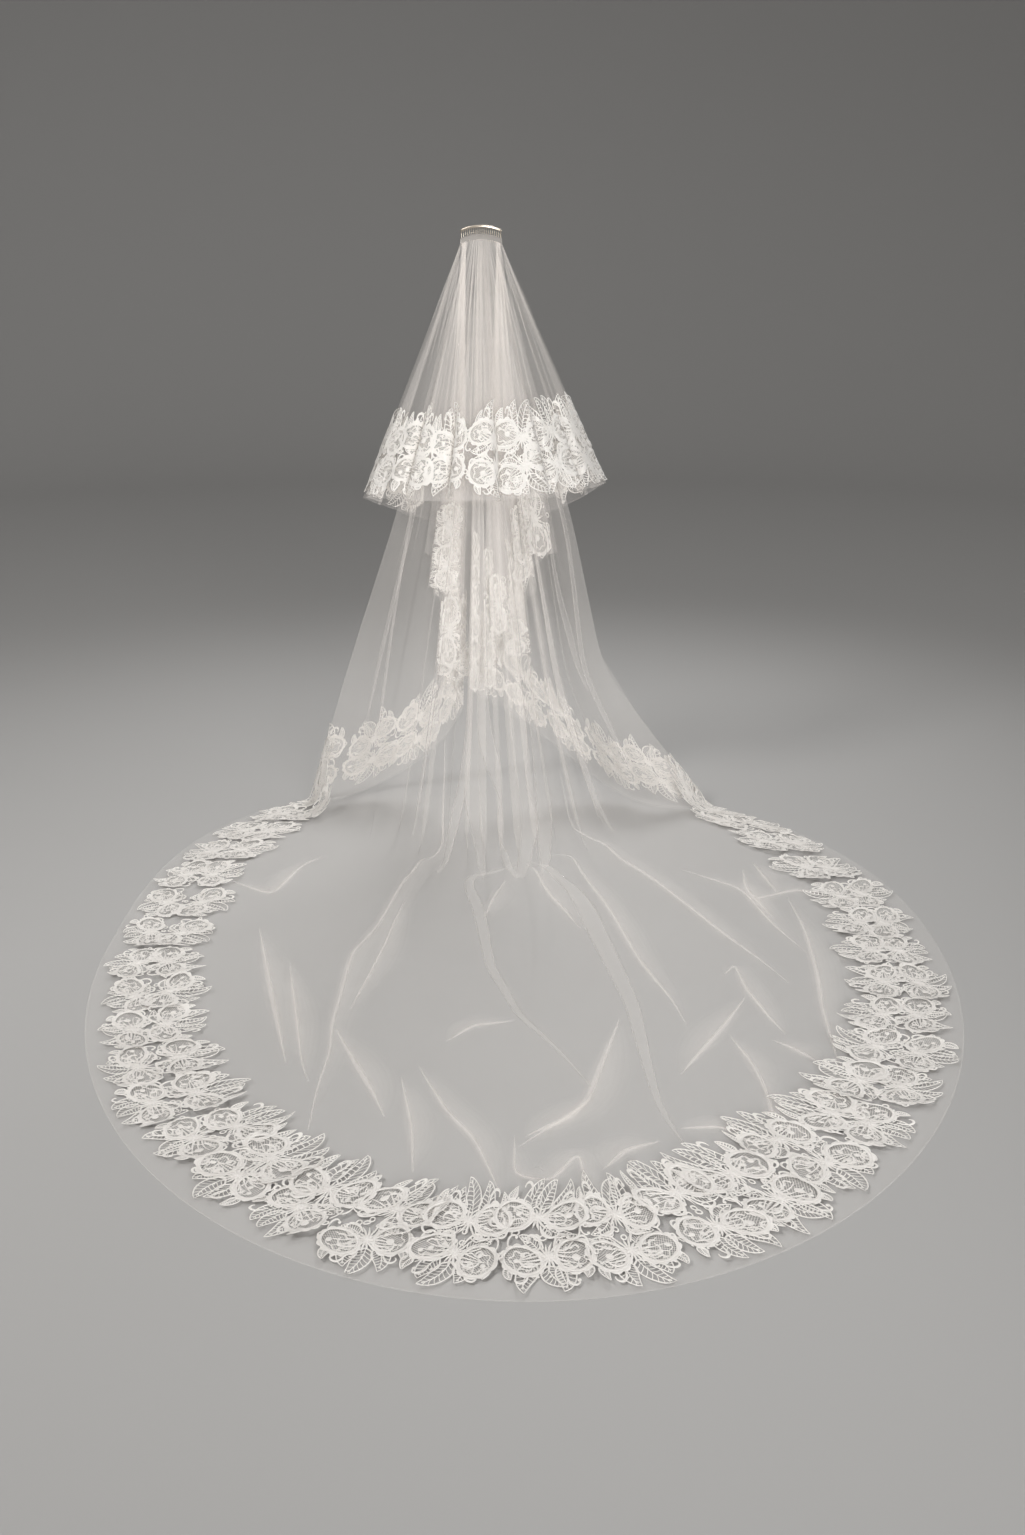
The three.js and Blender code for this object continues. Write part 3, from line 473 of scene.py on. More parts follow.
def train_grid():
    """The part of the long tier that runs on along the floor, with its folds."""
    columns = fold_columns(LONG_FOLDS)
    ends = [np.linspace(FEET[0][0], columns[0, 0], 9)[:-1], np.linspace(columns[-1, 0], FEET[-1][0], 9)[1:]]
    known = np.concatenate([ends[0], columns[:, 0], ends[1]])
    shares = np.interp(TURNS, known, np.linspace(-GATHER["train"], GATHER["train"], len(known)))
    feet_table = np.array(FEET, float)
    feet = soften(np.stack([np.interp(TURNS, feet_table[:, 0], feet_table[:, k]) for k in (1, 2)], 1), 8)
    side = np.sign(TURNS) * fade(np.abs(TURNS), *SIDE_TURN)
    hem = train_hem(TURNS)
    ahead = directions(hem)
    inward = np.stack([-ahead[:, 1], ahead[:, 0], np.zeros(len(hem))], 1)
    threads, foot_at = [], []
    for k in range(len(TURNS)):
        foot = np.array([*feet[k], TULLE / 2 - COMB_ABOVE_FLOOR])
        points = hang(header_point(shares[k], LONG_TIER_ROOT), foot, side[k])
        foot_at.append(lengths_of(points)[-1])
        threads.append(trail(points, hem[k], inward[k]))
    grid, left, run = column_grid(threads, foot_at, ROWS["hanging"], ROWS["floor"], BAND_ROWS)

    depth = ease(TURNS, columns[:, 0], columns[:, 1])[:, None]
    lying = ease(TURNS, columns[:, 0], columns[:, 2])[:, None]
    reach = np.maximum(ease(TURNS, columns[:, 0], columns[:, 3]), 1)[:, None]
    height = grid[..., 2] + COMB_ABOVE_FLOOR
    on_floor = 1 - smooth(height / FLOOR_BEND)
    down = np.sqrt(np.clip(1 - (height + HEADER_BOTTOM) / COMB_ABOVE_FLOOR, 0, 1))
    run_out = 1 - smooth((run - COMB_ABOVE_FLOOR) / reach)
    before_hem = smooth((left - FLAT_BEFORE_HEM) / FOLD_FADE)
    stand = before_hem * mix(depth * down, lying * run_out, on_floor)
    lean = FOLD_LEAN["long"] * lean_of(TURNS, LONG_FOLDS)[:, None] * down * (1 - on_floor) * before_hem
    grid = grid + normals_of(grid) * stand[..., None] + directions(grid) * lean[..., None]
    return settle(grid, left)


def short_grid():
    """The short tier with its folds."""
    hem = soften(spread(SHORT_HEM, COLUMNS["short"] + 1), 10)
    at = np.linspace(0, 1, COLUMNS["short"] + 1)
    columns = fold_columns(SHORT_FOLDS)
    depth = ease(at, columns[:, 0], columns[:, 1])
    lean = FOLD_LEAN["short"] * lean_of(at, SHORT_FOLDS)
    threads = []
    t = np.linspace(0, 1, HANG_STEPS + 1)[:, None]
    for x, y, height, share in hem:
        top = header_point(share, SHORT_TIER_ROOT)
        foot = np.array([x, y, height - COMB_ABOVE_FLOOR])
        threads.append(mix(top, foot, t))
    feet = [lengths_of(thread)[-1] for thread in threads]
    grid, left, run = column_grid(threads, feet, ROWS["short"], 0, SHORT_BAND_ROWS)
    down = run / (run + left)
    stand = normals_of(grid) * (depth[:, None] * down)[..., None]
    sideways = directions(grid) * (lean[:, None] * down**1.5)[..., None]
    return grid + stand + sideways


# Mesh making
class Shape:
    """Vertices and faces that are gathered into one mesh."""

    def __init__(self):
        self.points, self.faces, self.count = [], [], 0

    def add(self, points, faces):
        self.points.append(np.asarray(points, float))
        self.faces.append(np.asarray(faces, int) + self.count)
        self.count += len(points)

    def add_grid(self, grid, closed=False):
        columns, rows = grid.shape[:2]
        self.add(grid.reshape(-1, 3), grid_faces(columns, rows, closed))

    def add_rod(self, grid, way):
        """A closed grid with a fan over each end. Way is 1 or -1, the order of the points in its rings."""
        sides, rows = grid.shape[:2]
        first = self.count
        self.add_grid(grid[::way], True)
        for row in (0, rows - 1):
            ring = (first - self.count + np.arange(sides) * rows + row)[::way]
            self.add([grid[:, row].mean(0)], np.stack([ring, np.roll(ring, -1), np.zeros(sides, int)], 1))

    def quads(self):
        """All faces with four corners. A triangle repeats its last corner."""
        return np.concatenate([f if f.shape[1] == 4 else np.hstack([f, f[:, 2:]]) for f in self.faces])


def grid_faces(columns, rows, closed=False):
    i = np.arange(columns if closed else columns - 1)[:, None]
    j = np.arange(rows - 1)[None, :]
    a = i * rows + j
    b = ((i + 1) % columns) * rows + j
    return np.stack([a, a + 1, b + 1, b], -1).reshape(-1, 4)


def make_object(name, shape, material, scale=MM):
    """One mesh of quads and triangles."""
    points = np.concatenate(shape.points) * scale
    if scale == MM:
        points[:, 2] = np.maximum(points[:, 2], LOWEST)
    faces = shape.quads()
    sizes = np.where(faces[:, 2] == faces[:, 3], 3, 4)
    loops = faces.ravel()[np.stack([np.full(len(faces), True)] * 3 + [sizes == 4], 1).ravel()]
    mesh = bpy.data.meshes.new(name)
    mesh.vertices.add(len(points))
    mesh.vertices.foreach_set("co", points.astype(np.float32).ravel())
    mesh.loops.add(len(loops))
    mesh.loops.foreach_set("vertex_index", loops.astype(np.int32))
    mesh.polygons.add(len(faces))
    mesh.polygons.foreach_set("loop_start", np.concatenate([[0], np.cumsum(sizes)[:-1]]).astype(np.int32))
    mesh.polygons.foreach_set("use_smooth", np.full(len(faces), True))
    mesh.update(calc_edges=True)
    mesh.validate()
    mesh.materials.append(material)
    made = bpy.data.objects.new(name, mesh)
    bpy.context.scene.collection.objects.link(made)
    return made


# Sections of folded cloth: sideways and up, in shares of the width and the height
FOLD = np.array([(-0.5, 0.02), (-0.3, 0.6), (0.1, 0.95), (0.42, 1.0), (0.5, 0.75), (0.3, 0.42),
                 (-0.45, 0.1)])
EDGE = np.array([(-0.5, 0), (0.5, 0.25), (-0.5, 0.5), (0.5, 0.75), (-0.5, 1.0)])
# This section is the faint film beside a crease, which paints light on its soft slope
SLOPE = np.array([(0, 0), (0.5, 0.5), (1, 0)])
EDGE_HEIGHT = 1.5
HEM_LIFT = 0.5
# Folded panels: rows, places across, how far they stand up there, and the most that they stand up
PANEL_ROWS = 44
PANEL_ACROSS = np.array([0, 0.15, 0.5, 0.85, 1])
PANEL_RISE = np.array([0.3, 0.8, 1.0, 0.8, 0.3])
PANEL_BULGE = 7.0
PANEL_EDGE = 2.6


def strip(shape, section, path, across, up, width, height, lift=0.3):
    """Cloth of one section along a path."""
    width, height = (np.broadcast_to(v, len(path)) for v in (width, height))
    grid = (path[:, None] + across[:, None] * (section[:, 0] * width[:, None])[..., None]
            + up[:, None] * (section[:, 1] * height[:, None] + lift)[..., None])
    shape.add_grid(grid)


def surface_at(grid, column, row):
    """Points of a grid at fractional places."""
    column = np.clip(column, 0, grid.shape[0] - 1.001)
    row = np.clip(row, 0, grid.shape[1] - 1.001)
    a, b = column.astype(int), row.astype(int)
    s, t = (column - a)[:, None], (row - b)[:, None]
    return mix(mix(grid[a, b], grid[a + 1, b], s), mix(grid[a, b + 1], grid[a + 1, b + 1], s), t)


def add_panel(shape, grid, normals, known, rows, table, side=1):
    """A folded panel that hangs over or behind the cloth: one more layer, with a rolled edge on either side.

    The table's places across are in the same measure as known, which has one value for each column.
    """
    table = np.array(table, float)
    s = np.linspace(table[0, 0], table[-1, 0], PANEL_ROWS)
    edges = []
    for k in (1, 2):
        place = soften(np.interp(s, table[:, 0], table[:, k]), 3)
        column = np.interp(place, known, np.arange(len(known)))
        up = side * unit(surface_at(normals, column, s * rows))
        edges.append((surface_at(grid, column, s * rows), up))
    (left, left_up), (right, right_up) = edges
    middle_up = unit(left_up + right_up)
    width = np.linalg.norm(right - left, axis=1)
    bulge = np.minimum(PANEL_BULGE, 0.22 * width)
    flat = mix(left[:, None], right[:, None], PANEL_ACROSS[None, :, None])
    panel = flat + middle_up[:, None] * (0.6 + bulge[:, None] * PANEL_RISE)[..., None]
    shape.add_grid(panel)
    for path, up in ((panel[:, 0], left_up), (panel[:, -1], right_up)):
        across = unit(np.cross(up, directions(path)))
        taper = smooth(np.linspace(0, 8, len(path))) * smooth(np.linspace(10, 0, len(path)))
        strip(shape, EDGE, path, across, up, PANEL_EDGE * taper + 0.3, EDGE_HEIGHT)


def add_hem(shape, path, up, width):
    """The narrow rolled edge of the tulle."""
    across = unit(np.cross(up, directions(path)))
    sides = np.array([-width / 2, width / 2])[None, :, None]
    shape.add_grid(path[:, None] + across[:, None] * sides + up[:, None] * HEM_LIFT)


def add_pleat(shape, grid, normals, column, last_row, top_width, foot_width, height, flip):
    """A fine gather that follows one thread of a grid from the header down to a row."""
    rows = np.arange(0, last_row + 1)
    k = int(np.clip(math.floor(column), 1, len(grid) - 3))
    t = column - k
    path = mix(grid[k, rows], grid[k + 1, rows], t)
    up = unit(mix(normals[k, rows], normals[k + 1, rows], t))
    across = unit(grid[k + 2, rows] - grid[k - 1, rows]) * (-1 if flip else 1)
    s = rows / last_row
    width = mix(top_width, foot_width, s**0.9) * (1 - fade(s, 0.55, 1)) + 0.3
    strip(shape, FOLD, path, across, up, width, np.minimum(height, 0.35 * width))


def crowded(share):
    """Moves shares from 0 to 1 closer to the middle."""
    q = 2 * share - 1
    return 0.5 + 0.5 * math.copysign(abs(q) ** 1.4, q)


CREASE_STEP = 0.012


def floor_path(floor_points, line):
    """A line on the floor laid on the cloth: points, directions across and up, and shares of its length."""
    line = np.asarray(line, float)
    fine = at_lengths(line, lengths_of(line), np.linspace(0, lengths_of(line)[-1], len(line) * 8))
    fine = soften(fine, 3)
    lengths = lengths_of(fine)
    count = max(8, int(lengths[-1] / CREASE_STEP))
    path = at_lengths(fine, lengths, np.linspace(0, lengths[-1], count))
    path = path / MM
    nearest = [np.argmin(((floor_points[:, :2] - point) ** 2).sum(1)) for point in path]
    points = np.concatenate([path, soften(floor_points[nearest, 2], 3)[:, None]], 1)
    up = np.tile([0.0, 0.0, 1.0], (count, 1))
    across = unit(np.cross(up, directions(points)))
    return points, across, up, np.linspace(0, 1, count)


def swell(t, power):
    """Nothing at 0 and 1, and full between them."""
    return np.sin(np.pi * np.clip(t, 0.004, 0.996)) ** power


# Section of a broad crease: sideways in shares of its width, and up
BROAD_SECTION = np.array([(-0.5, 0.01), (-0.3, 0.04), (0.0, 0.05), (0.3, 0.04), (0.5, 0.01)])
# Nested faint layers beside a crease, painted light on its soft slope: shares of its full width and length
SLOPE_LIGHT_LAYERS = ((1.0, 1.0), (0.78, 0.9), (0.58, 0.8), (0.4, 0.7), (0.22, 0.6))
# Sides that get the painted light beside a crease, and the share of its width there
SLOPE_LIGHT_SIDES = ((1, 1.0), (-1, 0.3))


def add_broad_crease(shape, path, across, up, t, width):
    """A folded panel along a path on the floor, which narrows to its end, with two bright edges."""
    body = width * mix(0.3, 1, fade(t, 0, 0.3)) * np.clip(1.02 - t, 0, 1) ** 0.75
    strip(shape, BROAD_SECTION, path, across, up, body, body, 1.0)
    edge = 2.8 * fade(t, 0, 0.06) * np.clip(1.1 - t, 0, 1) ** 0.3 + 0.3
    for sign in (-1, 1):
        strip(shape, EDGE, path + across * (sign * 0.49 * body)[:, None], across, up, edge, EDGE_HEIGHT, 1.2)


def add_crease(shape, light_slopes, floor_points, width, height, line):
    """A pressed fold along a line on the floor, with a bright edge, and a faint film on either side with
    painted light on its soft slope.
    """
    path, across, up, t = floor_path(floor_points, line)
    if width >= BROAD_CREASE:
        add_broad_crease(shape, path, across, up, t, width)
        return
    taper = swell(t, 0.7)
    # Painted light: faint nested layers on the soft slope to either side of the crease
    for k, (wide, long) in enumerate(SLOPE_LIGHT_LAYERS):
        reach = (2.2 * width + 26) * wide * swell((t - 0.5) / long + 0.5, 0.8)
        for side, share in SLOPE_LIGHT_SIDES:
            strip(light_slopes, SLOPE, path, side * across, up, reach * share + 0.2, 0.5, 0.3 + 0.2 * k)
    strip(shape, FOLD, path, across, up, 0.75 * width * taper + 0.2, height * 0.4 * taper)
    strip(shape, EDGE, path + across * (0.2 * width * taper)[:, None], across, up,
          (1.0 + 0.12 * width) * taper + 0.1, EDGE_HEIGHT * taper, 0.8)


# Net: directions in an oval, gap in shares of its radius, width and height of a thread
NET_TURNS = (0.7, -0.75)
NET_GAP = 0.125
NET_THREAD = 0.7
NET_HEIGHT = 0.15


# Lace: a flat pattern in millimetres, x along the hem, y towards it, and height
class Pattern(Shape):
    def stroke(self, path, width, height, base, closed=False):
        """A rounded cord along a path. width may be one number or one for each point."""
        path = np.asarray(path, float)
        if closed:
            ahead = np.roll(path, -1, 0) - np.roll(path, 1, 0)
        else:
            ahead = np.gradient(path, axis=0)
        side = left_of(unit(ahead))
        width = np.broadcast_to(width, len(path))[:, None]
        left, right = path + side * width / 2, path - side * width / 2
        grid = np.empty((len(path), 3, 3))
        grid[:, 0, :2], grid[:, 1, :2], grid[:, 2, :2] = left, path, right
        grid[:, 0, 2] = grid[:, 2, 2] = base
        grid[:, 1, 2] = base + height * np.minimum(1, width[:, 0] / width.max() + 0.25)
        self.add(grid.reshape(-1, 3), grid_faces(len(path), 3, closed))

    def patch(self, outline, height, base):
        """A low mound inside an outline."""
        outline = np.asarray(outline, float)
        n = len(outline)
        middle = outline.mean(0)
        points = np.concatenate([np.column_stack([outline, np.full(n, base)]), [[*middle, base + height]]])
        k = np.arange(n)
        self.add(points, np.stack([k, (k + 1) % n, np.full(n, n)], 1))

    def band(self, inner, outer, height, base):
        """A flat closed band between two outlines with the same count of points."""
        grid = np.stack([np.column_stack([inner, np.full(len(inner), base + height)]),
                         np.column_stack([outer, np.full(len(outer), base)])], 1)
        self.add(grid.reshape(-1, 3), grid_faces(len(inner), 2, True))

    def net(self, centre, radii, angle):
        """Threads that fill an oval, in two diagonal directions."""
        for turn in NET_TURNS:
            along = np.array([math.cos(turn), math.sin(turn)])
            side = np.array([-along[1], along[0]])
            for offset in np.arange(-1.0 + 0.5 * NET_GAP, 1.0, NET_GAP):
                half = math.sqrt(max(0, 1 - offset * offset))
                line = side * offset + along * np.linspace(-half, half, 3)[:, None]
                self.thin(turned(line * radii, angle) + centre, NET_THREAD, NET_HEIGHT)

    def thin(self, path, width, base):
        """A flat thread along a path."""
        side = left_of(directions(path)) * width / 2
        grid = np.stack([path + side, path - side], 1)
        grid = np.concatenate([grid, np.full(grid.shape[:2] + (1,), base)], -1)
        self.add(grid.reshape(-1, 3), grid_faces(len(path), 2))


def turned(points, angle):
    c, s = math.cos(angle), math.sin(angle)
    return points @ np.array([[c, s], [-s, c]])


def oval(centre, radii, angle, steps):
    a = np.linspace(0, 2 * np.pi, steps, endpoint=False)
    return turned(np.stack([np.cos(a), np.sin(a)], 1) * radii, angle) + centre


def curved(base, angle, length, bend, steps):
    """A line that starts in one direction and bends by an angle, all in radians and millimetres."""
    t = np.linspace(0, 1, steps)
    turn = angle + bend * t
    step = np.stack([np.cos(turn), np.sin(turn)], 1) * length / (steps - 1)
    return np.asarray(base, float) + np.concatenate([[[0, 0]], np.cumsum(step[:-1], 0)])


def petal(lace, base, angle, length, width, bend, height, lift):
    path = curved(base, angle, length, bend, 7)
    t = np.linspace(0, 1, 7)
    lace.stroke(path, width * np.maximum(np.sin(np.pi * t**0.8), 0.12), height, lift)


# Width of a leaf's edge cords, and the count of its ribs on either side
LEAF_EDGE = 3.0
LEAF_RIBS = 8


def leaf(lace, base, angle, length, width, bend):
    """A pointed leaf: thick corded edges, a rib and rows of cross threads."""
    rib = curved(base, angle, length, bend, 10)
    t = np.linspace(0, 1, 10)
    ahead = directions(rib)
    side = left_of(ahead)
    half = (width / 2 * np.sin(np.pi * t**0.62) ** 0.8)[:, None]
    for sign in (1, -1):
        lace.stroke(rib + side * half * sign, LEAF_EDGE * mix(1, 0.45, t**2), 1.3, 0.5)
    lace.stroke(rib[:-1], 2.0, 1.0, 0.5)
    for k in range(1, LEAF_RIBS + 1):
        for sign in (1, -1):
            far = rib[k] + side[k] * half[k] * sign
            middle = mix(rib[k - 1], far, 0.5) + ahead[k] * 0.8
            lace.thin(np.stack([rib[k - 1], middle, far]), 1.3, 0.4)


# Width of a medallion's rim, and how far the scroll inside it turns
RING = 5.4
SCROLL_TURN = 1.55 * np.pi


def medallion(lace, centre, radii, angle, lobes, buds):
    """A round or oval flower: scalloped rim, thick cord, inner scroll, net and buds."""
    radii = np.asarray(radii, float)
    steps = lobes * 4
    a = np.linspace(0, 2 * np.pi, steps, endpoint=False)
    rim = 1.02 + 0.1 * np.abs(np.sin(lobes * a / 2))
    shape = np.stack([np.cos(a), np.sin(a)], 1)
    inner, outer = shape * (radii - RING), shape * (radii * rim[:, None])
    lace.band(turned(inner, angle) + centre, turned(outer, angle) + centre, 1.2, 1.0)
    lace.stroke(turned(shape * (radii - RING * 0.45), angle) + centre, RING * 0.5, 1.0, 2.1, True)
    sweep = np.linspace(0, SCROLL_TURN, 26)
    wave = 1 + 0.16 * np.sin(6 * sweep)
    inside = np.stack([np.cos(sweep + 0.4), np.sin(sweep + 0.4)], 1)
    lace.stroke(turned(inside * (radii * 0.58) * wave[:, None], angle) + centre,
                mix(1.6, 3.0, np.linspace(0, 1, 26)), 1.1, 0.5)
    lace.net(centre, radii * 0.9, angle)
    for away, turn, size in buds:
        place = turned(np.array([[math.cos(turn), math.sin(turn)]]) * radii * away, angle)[0] + centre
        lace.patch(oval(place, (size, size * 0.85), turn, 9), 1.7, 0.8)


def burst(lace, radius, petals, phase):
    """The dense flower in the middle of a spray."""
    lace.patch(oval((0, 0), (radius * 0.5, radius * 0.45), 0, 20), 1.2, 0.5)
    for k in range(petals):
        angle = phase + 2 * math.pi * k / petals
        length = radius * (1.15, 0.8, 1.0)[k % 3]
        petal(lace, (4 * math.cos(angle), 4 * math.sin(angle)), angle, length, 4.2, 0.5, 1.5, 0.9)
    for k in range(7):
        angle = phase + 0.3 + 2 * math.pi * k / 7
        petal(lace, (0, 0), angle, radius * 0.5, 6.0, -0.35, 1.6, 1.9)
    lace.patch(oval((0, 0), (5.0, 4.4), 0, 10), 1.9, 3.0)


def scroll(lace, foot, angle, length, curl, width, ball):
    """A cord that curls up at its end, thick in the middle, with an optional round end."""
    t = np.linspace(0, 1, 16)
    turn = angle + curl * t**1.7
    step = np.stack([np.cos(turn), np.sin(turn)], 1) * (length / 15) * (1.15 - 0.55 * t)[:, None]
    path = np.asarray(foot, float) + np.concatenate([[[0, 0]], np.cumsum(step[:-1], 0)])
    lace.stroke(path, width * (0.35 + 0.65 * np.sin(np.pi * np.clip(t * 0.9 + 0.08, 0, 1))), 1.5, 0.9)
    if ball:
        lace.patch(oval(path[-1], (ball, ball), 0, 9), 1.8, 1.0)


# The two medallions of each kind of spray: middle, radii, turn, lobes and buds (distance, angle, size)
MEDALLIONS = [
    (((-44, 2), (34, 31), 0.2, 11, [(0.1, 0.0, 7.4), (0.6, 2.3, 3.4), (0.6, 5.2, 3.6)]),
     ((45, 8), (36, 27), -0.3, 13, [(0.5, 0.3, 5.4), (0.2, 2.0, 4.4), (0.5, 3.5, 4.8)])),
    (((-43, 9), (36, 27), 0.35, 13, [(0.42, 0.2, 5.2), (0.3, 2.6, 5.0), (0.4, 4.4, 5.0)]),
     ((44, 0), (33, 32), 0.1, 10, [(0.12, 1.0, 7.6), (0.6, 4.0, 3.2), (0.64, 1.2, 3.2)])),
    (((-42, -5), (34, 29), -0.4, 11, [(0.3, 1.2, 5.6), (0.34, 3.4, 5.2), (0.34, 5.4, 5.0)]),
     ((46, 11), (35, 28), 0.25, 12, [(0.15, 0.5, 7.0), (0.6, 2.8, 3.2)])),
    (((-45, 11), (33, 32), 0.0, 10, [(0.4, 0.5, 5.0), (0.4, 2.6, 5.0), (0.4, 4.7, 5.0)]),
     ((43, -4), (38, 26), 0.5, 13, [(0.5, 0.2, 4.6), (0.1, 1.0, 5.4), (0.52, 3.2, 4.4)])),
]
# Leaves towards the hem and away from it: foot, direction, length, width, bend
FLAMES = [((-20, 14), 2.2, 54, 32, -1.2), ((-2, 17), 1.5, 56, 31, -0.9), ((18, 14), 0.85, 54, 32, 1.1),
          ((-62, 22), 2.0, 24, 15, -1.0), ((60, 24), 1.1, 25, 16, 1.0)]
LEAVES = [((18, -12), -0.8, 44, 22, 0.9), ((-17, -12), -2.35, 44, 22, -0.9)]
# Curled cords: foot, direction, length, curl, width, round end
SCROLLS = [((-8, -14), -1.9, 62, -3.9, 4.8, 3.4), ((10, -15), -1.2, 60, 3.8, 4.8, 3.2),
           ((-12, 12), 2.6, 56, 3.2, 4.2, 0), ((14, 12), 0.5, 54, -3.2, 4.2, 0),
           ((-70, -14), -1.7, 40, 3.4, 4.0, 3.0), ((72, -12), -1.4, 40, -3.4, 4.0, 3.0),
           ((28, 30), 1.5, 46, -4.0, 4.2, 3.2), ((-32, 32), 1.7, 44, 4.0, 4.2, 0)]
# Small rings: middle and radius
RINGS = [(-20, -36, 5.4), (24, -36, 5.0), (80, -2, 4.4), (-80, 2, 4.4), (2, -44, 4.6)]
SMALL_BUDS = 9


def spray(kind):
    """One motif, about 160 mm wide: a flower, two medallions, leaves, flames, curled cords and stems."""
    lace = Pattern()
    burst(lace, 23 + kind % 2, 15, 0.2 * kind)
    for middle, radii, angle, lobes, buds in MEDALLIONS[kind]:
        medallion(lace, np.array(middle, float), radii, angle, lobes, buds)
    for k, (foot, angle, length, width, bend) in enumerate(FLAMES + LEAVES):
        stretch = 1 + 0.16 * math.sin(2.3 * k + 1.7 * kind)
        lean = 0.2 * math.sin(3.1 * k + 2.1 * kind)
        leaf(lace, foot, angle + lean, length * stretch, width, bend)
    for k, (foot, angle, length, curl, width, ball) in enumerate(SCROLLS):
        scroll(lace, foot, angle + 0.2 * math.sin(1.9 * k + 2.7 * kind), length, curl, width, ball)
    for x, side in ((-30, -1), (30, 1)):
        for k in range(4):
            path = curved((x * 0.45, -9 + 7 * k), 1.57 - side * 1.35, 44, 0.4 * (k - 1.5), 8)
            lace.stroke(path, mix(2.8, 1.4, np.linspace(0, 1, 8)), 1.2, 0.9)
    for x, y, r in RINGS:
        lace.stroke(oval((x, y), (r, r), 0, 11), 2.8, 1.3, 0.5, True)
    for k in range(SMALL_BUDS):
        t = k / (SMALL_BUDS - 1)
        middle = (mix(-72, 76, t), 36 - 40 * abs(t - 0.5) + 6 * (k % 2))
        lace.patch(oval(middle, (2.3, 2.3), 0, 6), 1.8, 0.6)
    return lace


class Band:
    """The cloth near a hem, addressed by length along the hem and distance from it, in millimetres."""

    def __init__(self, grid, rows):
        self.points = grid[:, ::-1][:, :rows + 1]
        self.normals = normals_of(grid)[:, ::-1][:, :rows + 1]
        self.hem = lengths_of(self.points[:, 0])
        step = np.linalg.norm(np.gradient(self.points, axis=0), axis=-1)
        self.squeeze = soften(np.clip(step / np.maximum(step[:, :1], 1e-6), 0.35, 1.3), 6)

    def column(self, u):
        """Columns, whole or between two, at lengths along the hem."""
        return np.interp(u, self.hem, np.arange(len(self.hem)))

    def place(self, u, v, height):
        """Points at places on the cloth and heights over it."""
        i, j = self.column(u), v / BAND_STEP
        return surface_at(self.points, i, j) + unit(surface_at(self.normals, i, j)) * height[:, None]

    def ratio(self, u, v):
        """How much narrower or wider the cloth is at a place than along its hem."""
        i = int(self.column(u))
        j = int(np.clip(round(v / BAND_STEP), 0, self.points.shape[1] - 1))
        return float(np.clip(self.squeeze[i, j], 0.55, 1.2))


SPRAYS = [spray(kind) for kind in range(4)]
SPRAY_POINTS = [np.concatenate(lace.points) for lace in SPRAYS]
SPRAY_FACES = [lace.quads() for lace in SPRAYS]
SPRAY_SIZE = 70
SPRAY_DEPTH_SHARE = 192
TIP_CURL = 9.0
# How much longer the leaves at a motif's tip are, in the outer and in the inner row
TIP_STRETCH = (0.0, 0.26)
TIPS = (16, 56)
# A motif's reach towards the hem, and how far motifs may stray in place, turn and size
SPRAY_REACH = 62
STRAY_DOWN = 12
STRAY_TURN = 0.38
STRAY_SIZE = (0.92, 1.1)
INNER_ROW_LIFT = 1.2
PAST_ANY_HEM = 1e9


def add_spray(shape, band, u, v, size, deep, kind, inner, turn, lift):
    """Sews one motif on at a place of a band."""
    points = SPRAY_POINTS[kind % len(SPRAYS)]
    size *= mix(1, band.ratio(u, v), 0.4)
    flat = points[:, :2] * (size, deep)
    flat[:, 1] *= 1 + TIP_STRETCH[inner] * fade(points[:, 1], *TIPS)
    flat = turned(flat, turn) * (-1 if inner else 1)
    if kind % 3 == 1:
        flat = flat * (-1, 1)
    radius = np.hypot(points[:, 0], points[:, 1]) / SPRAY_SIZE
    curl = TIP_CURL * np.clip(radius - 0.5, 0, 1) ** 2 * (1 + 0.6 * np.sin(points[:, 0] * 0.11 + kind))
    height = LACE_LIFT + points[:, 2] + lift + curl
    placed = band.place(u + flat[:, 0] / band.ratio(u, v), np.maximum(v - flat[:, 1], 5), height)
    shape.add(placed, SPRAY_FACES[kind % len(SPRAYS)])


def sew(band, start, end, band_at, period, pieces, uneven=9):
    """Groups of two motifs, one above the other, along a hem, shared out to the pieces by their place."""
    count = max(1, int(round((end - start) / period)))
    for k in range(2 * count):
        inner = k % 2
        middle = start + (k // 2 + 0.5) * (end - start) / count
        margin, width = band_at(middle)
        deep = width / SPRAY_DEPTH_SHARE
        reach = SPRAY_REACH * deep
        v = margin + (width - reach if inner else reach) + RNG.uniform(-STRAY_DOWN, STRAY_DOWN)
        u = middle + RNG.uniform(-uneven, uneven)
        turn = RNG.uniform(-STRAY_TURN, STRAY_TURN)
        for low, high, shape in pieces:
            if low <= middle < high:
                add_spray(shape, band, u, v, RNG.uniform(*STRAY_SIZE), deep, k + k // 4, inner, turn,
                          INNER_ROW_LIFT * inner)


# Motifs on the facing folds: height that one takes up, and its own width and height
UPRIGHT_MOTIF = (135, 110, 150)
LEVEL_MOTIF = (110, 160, 104)


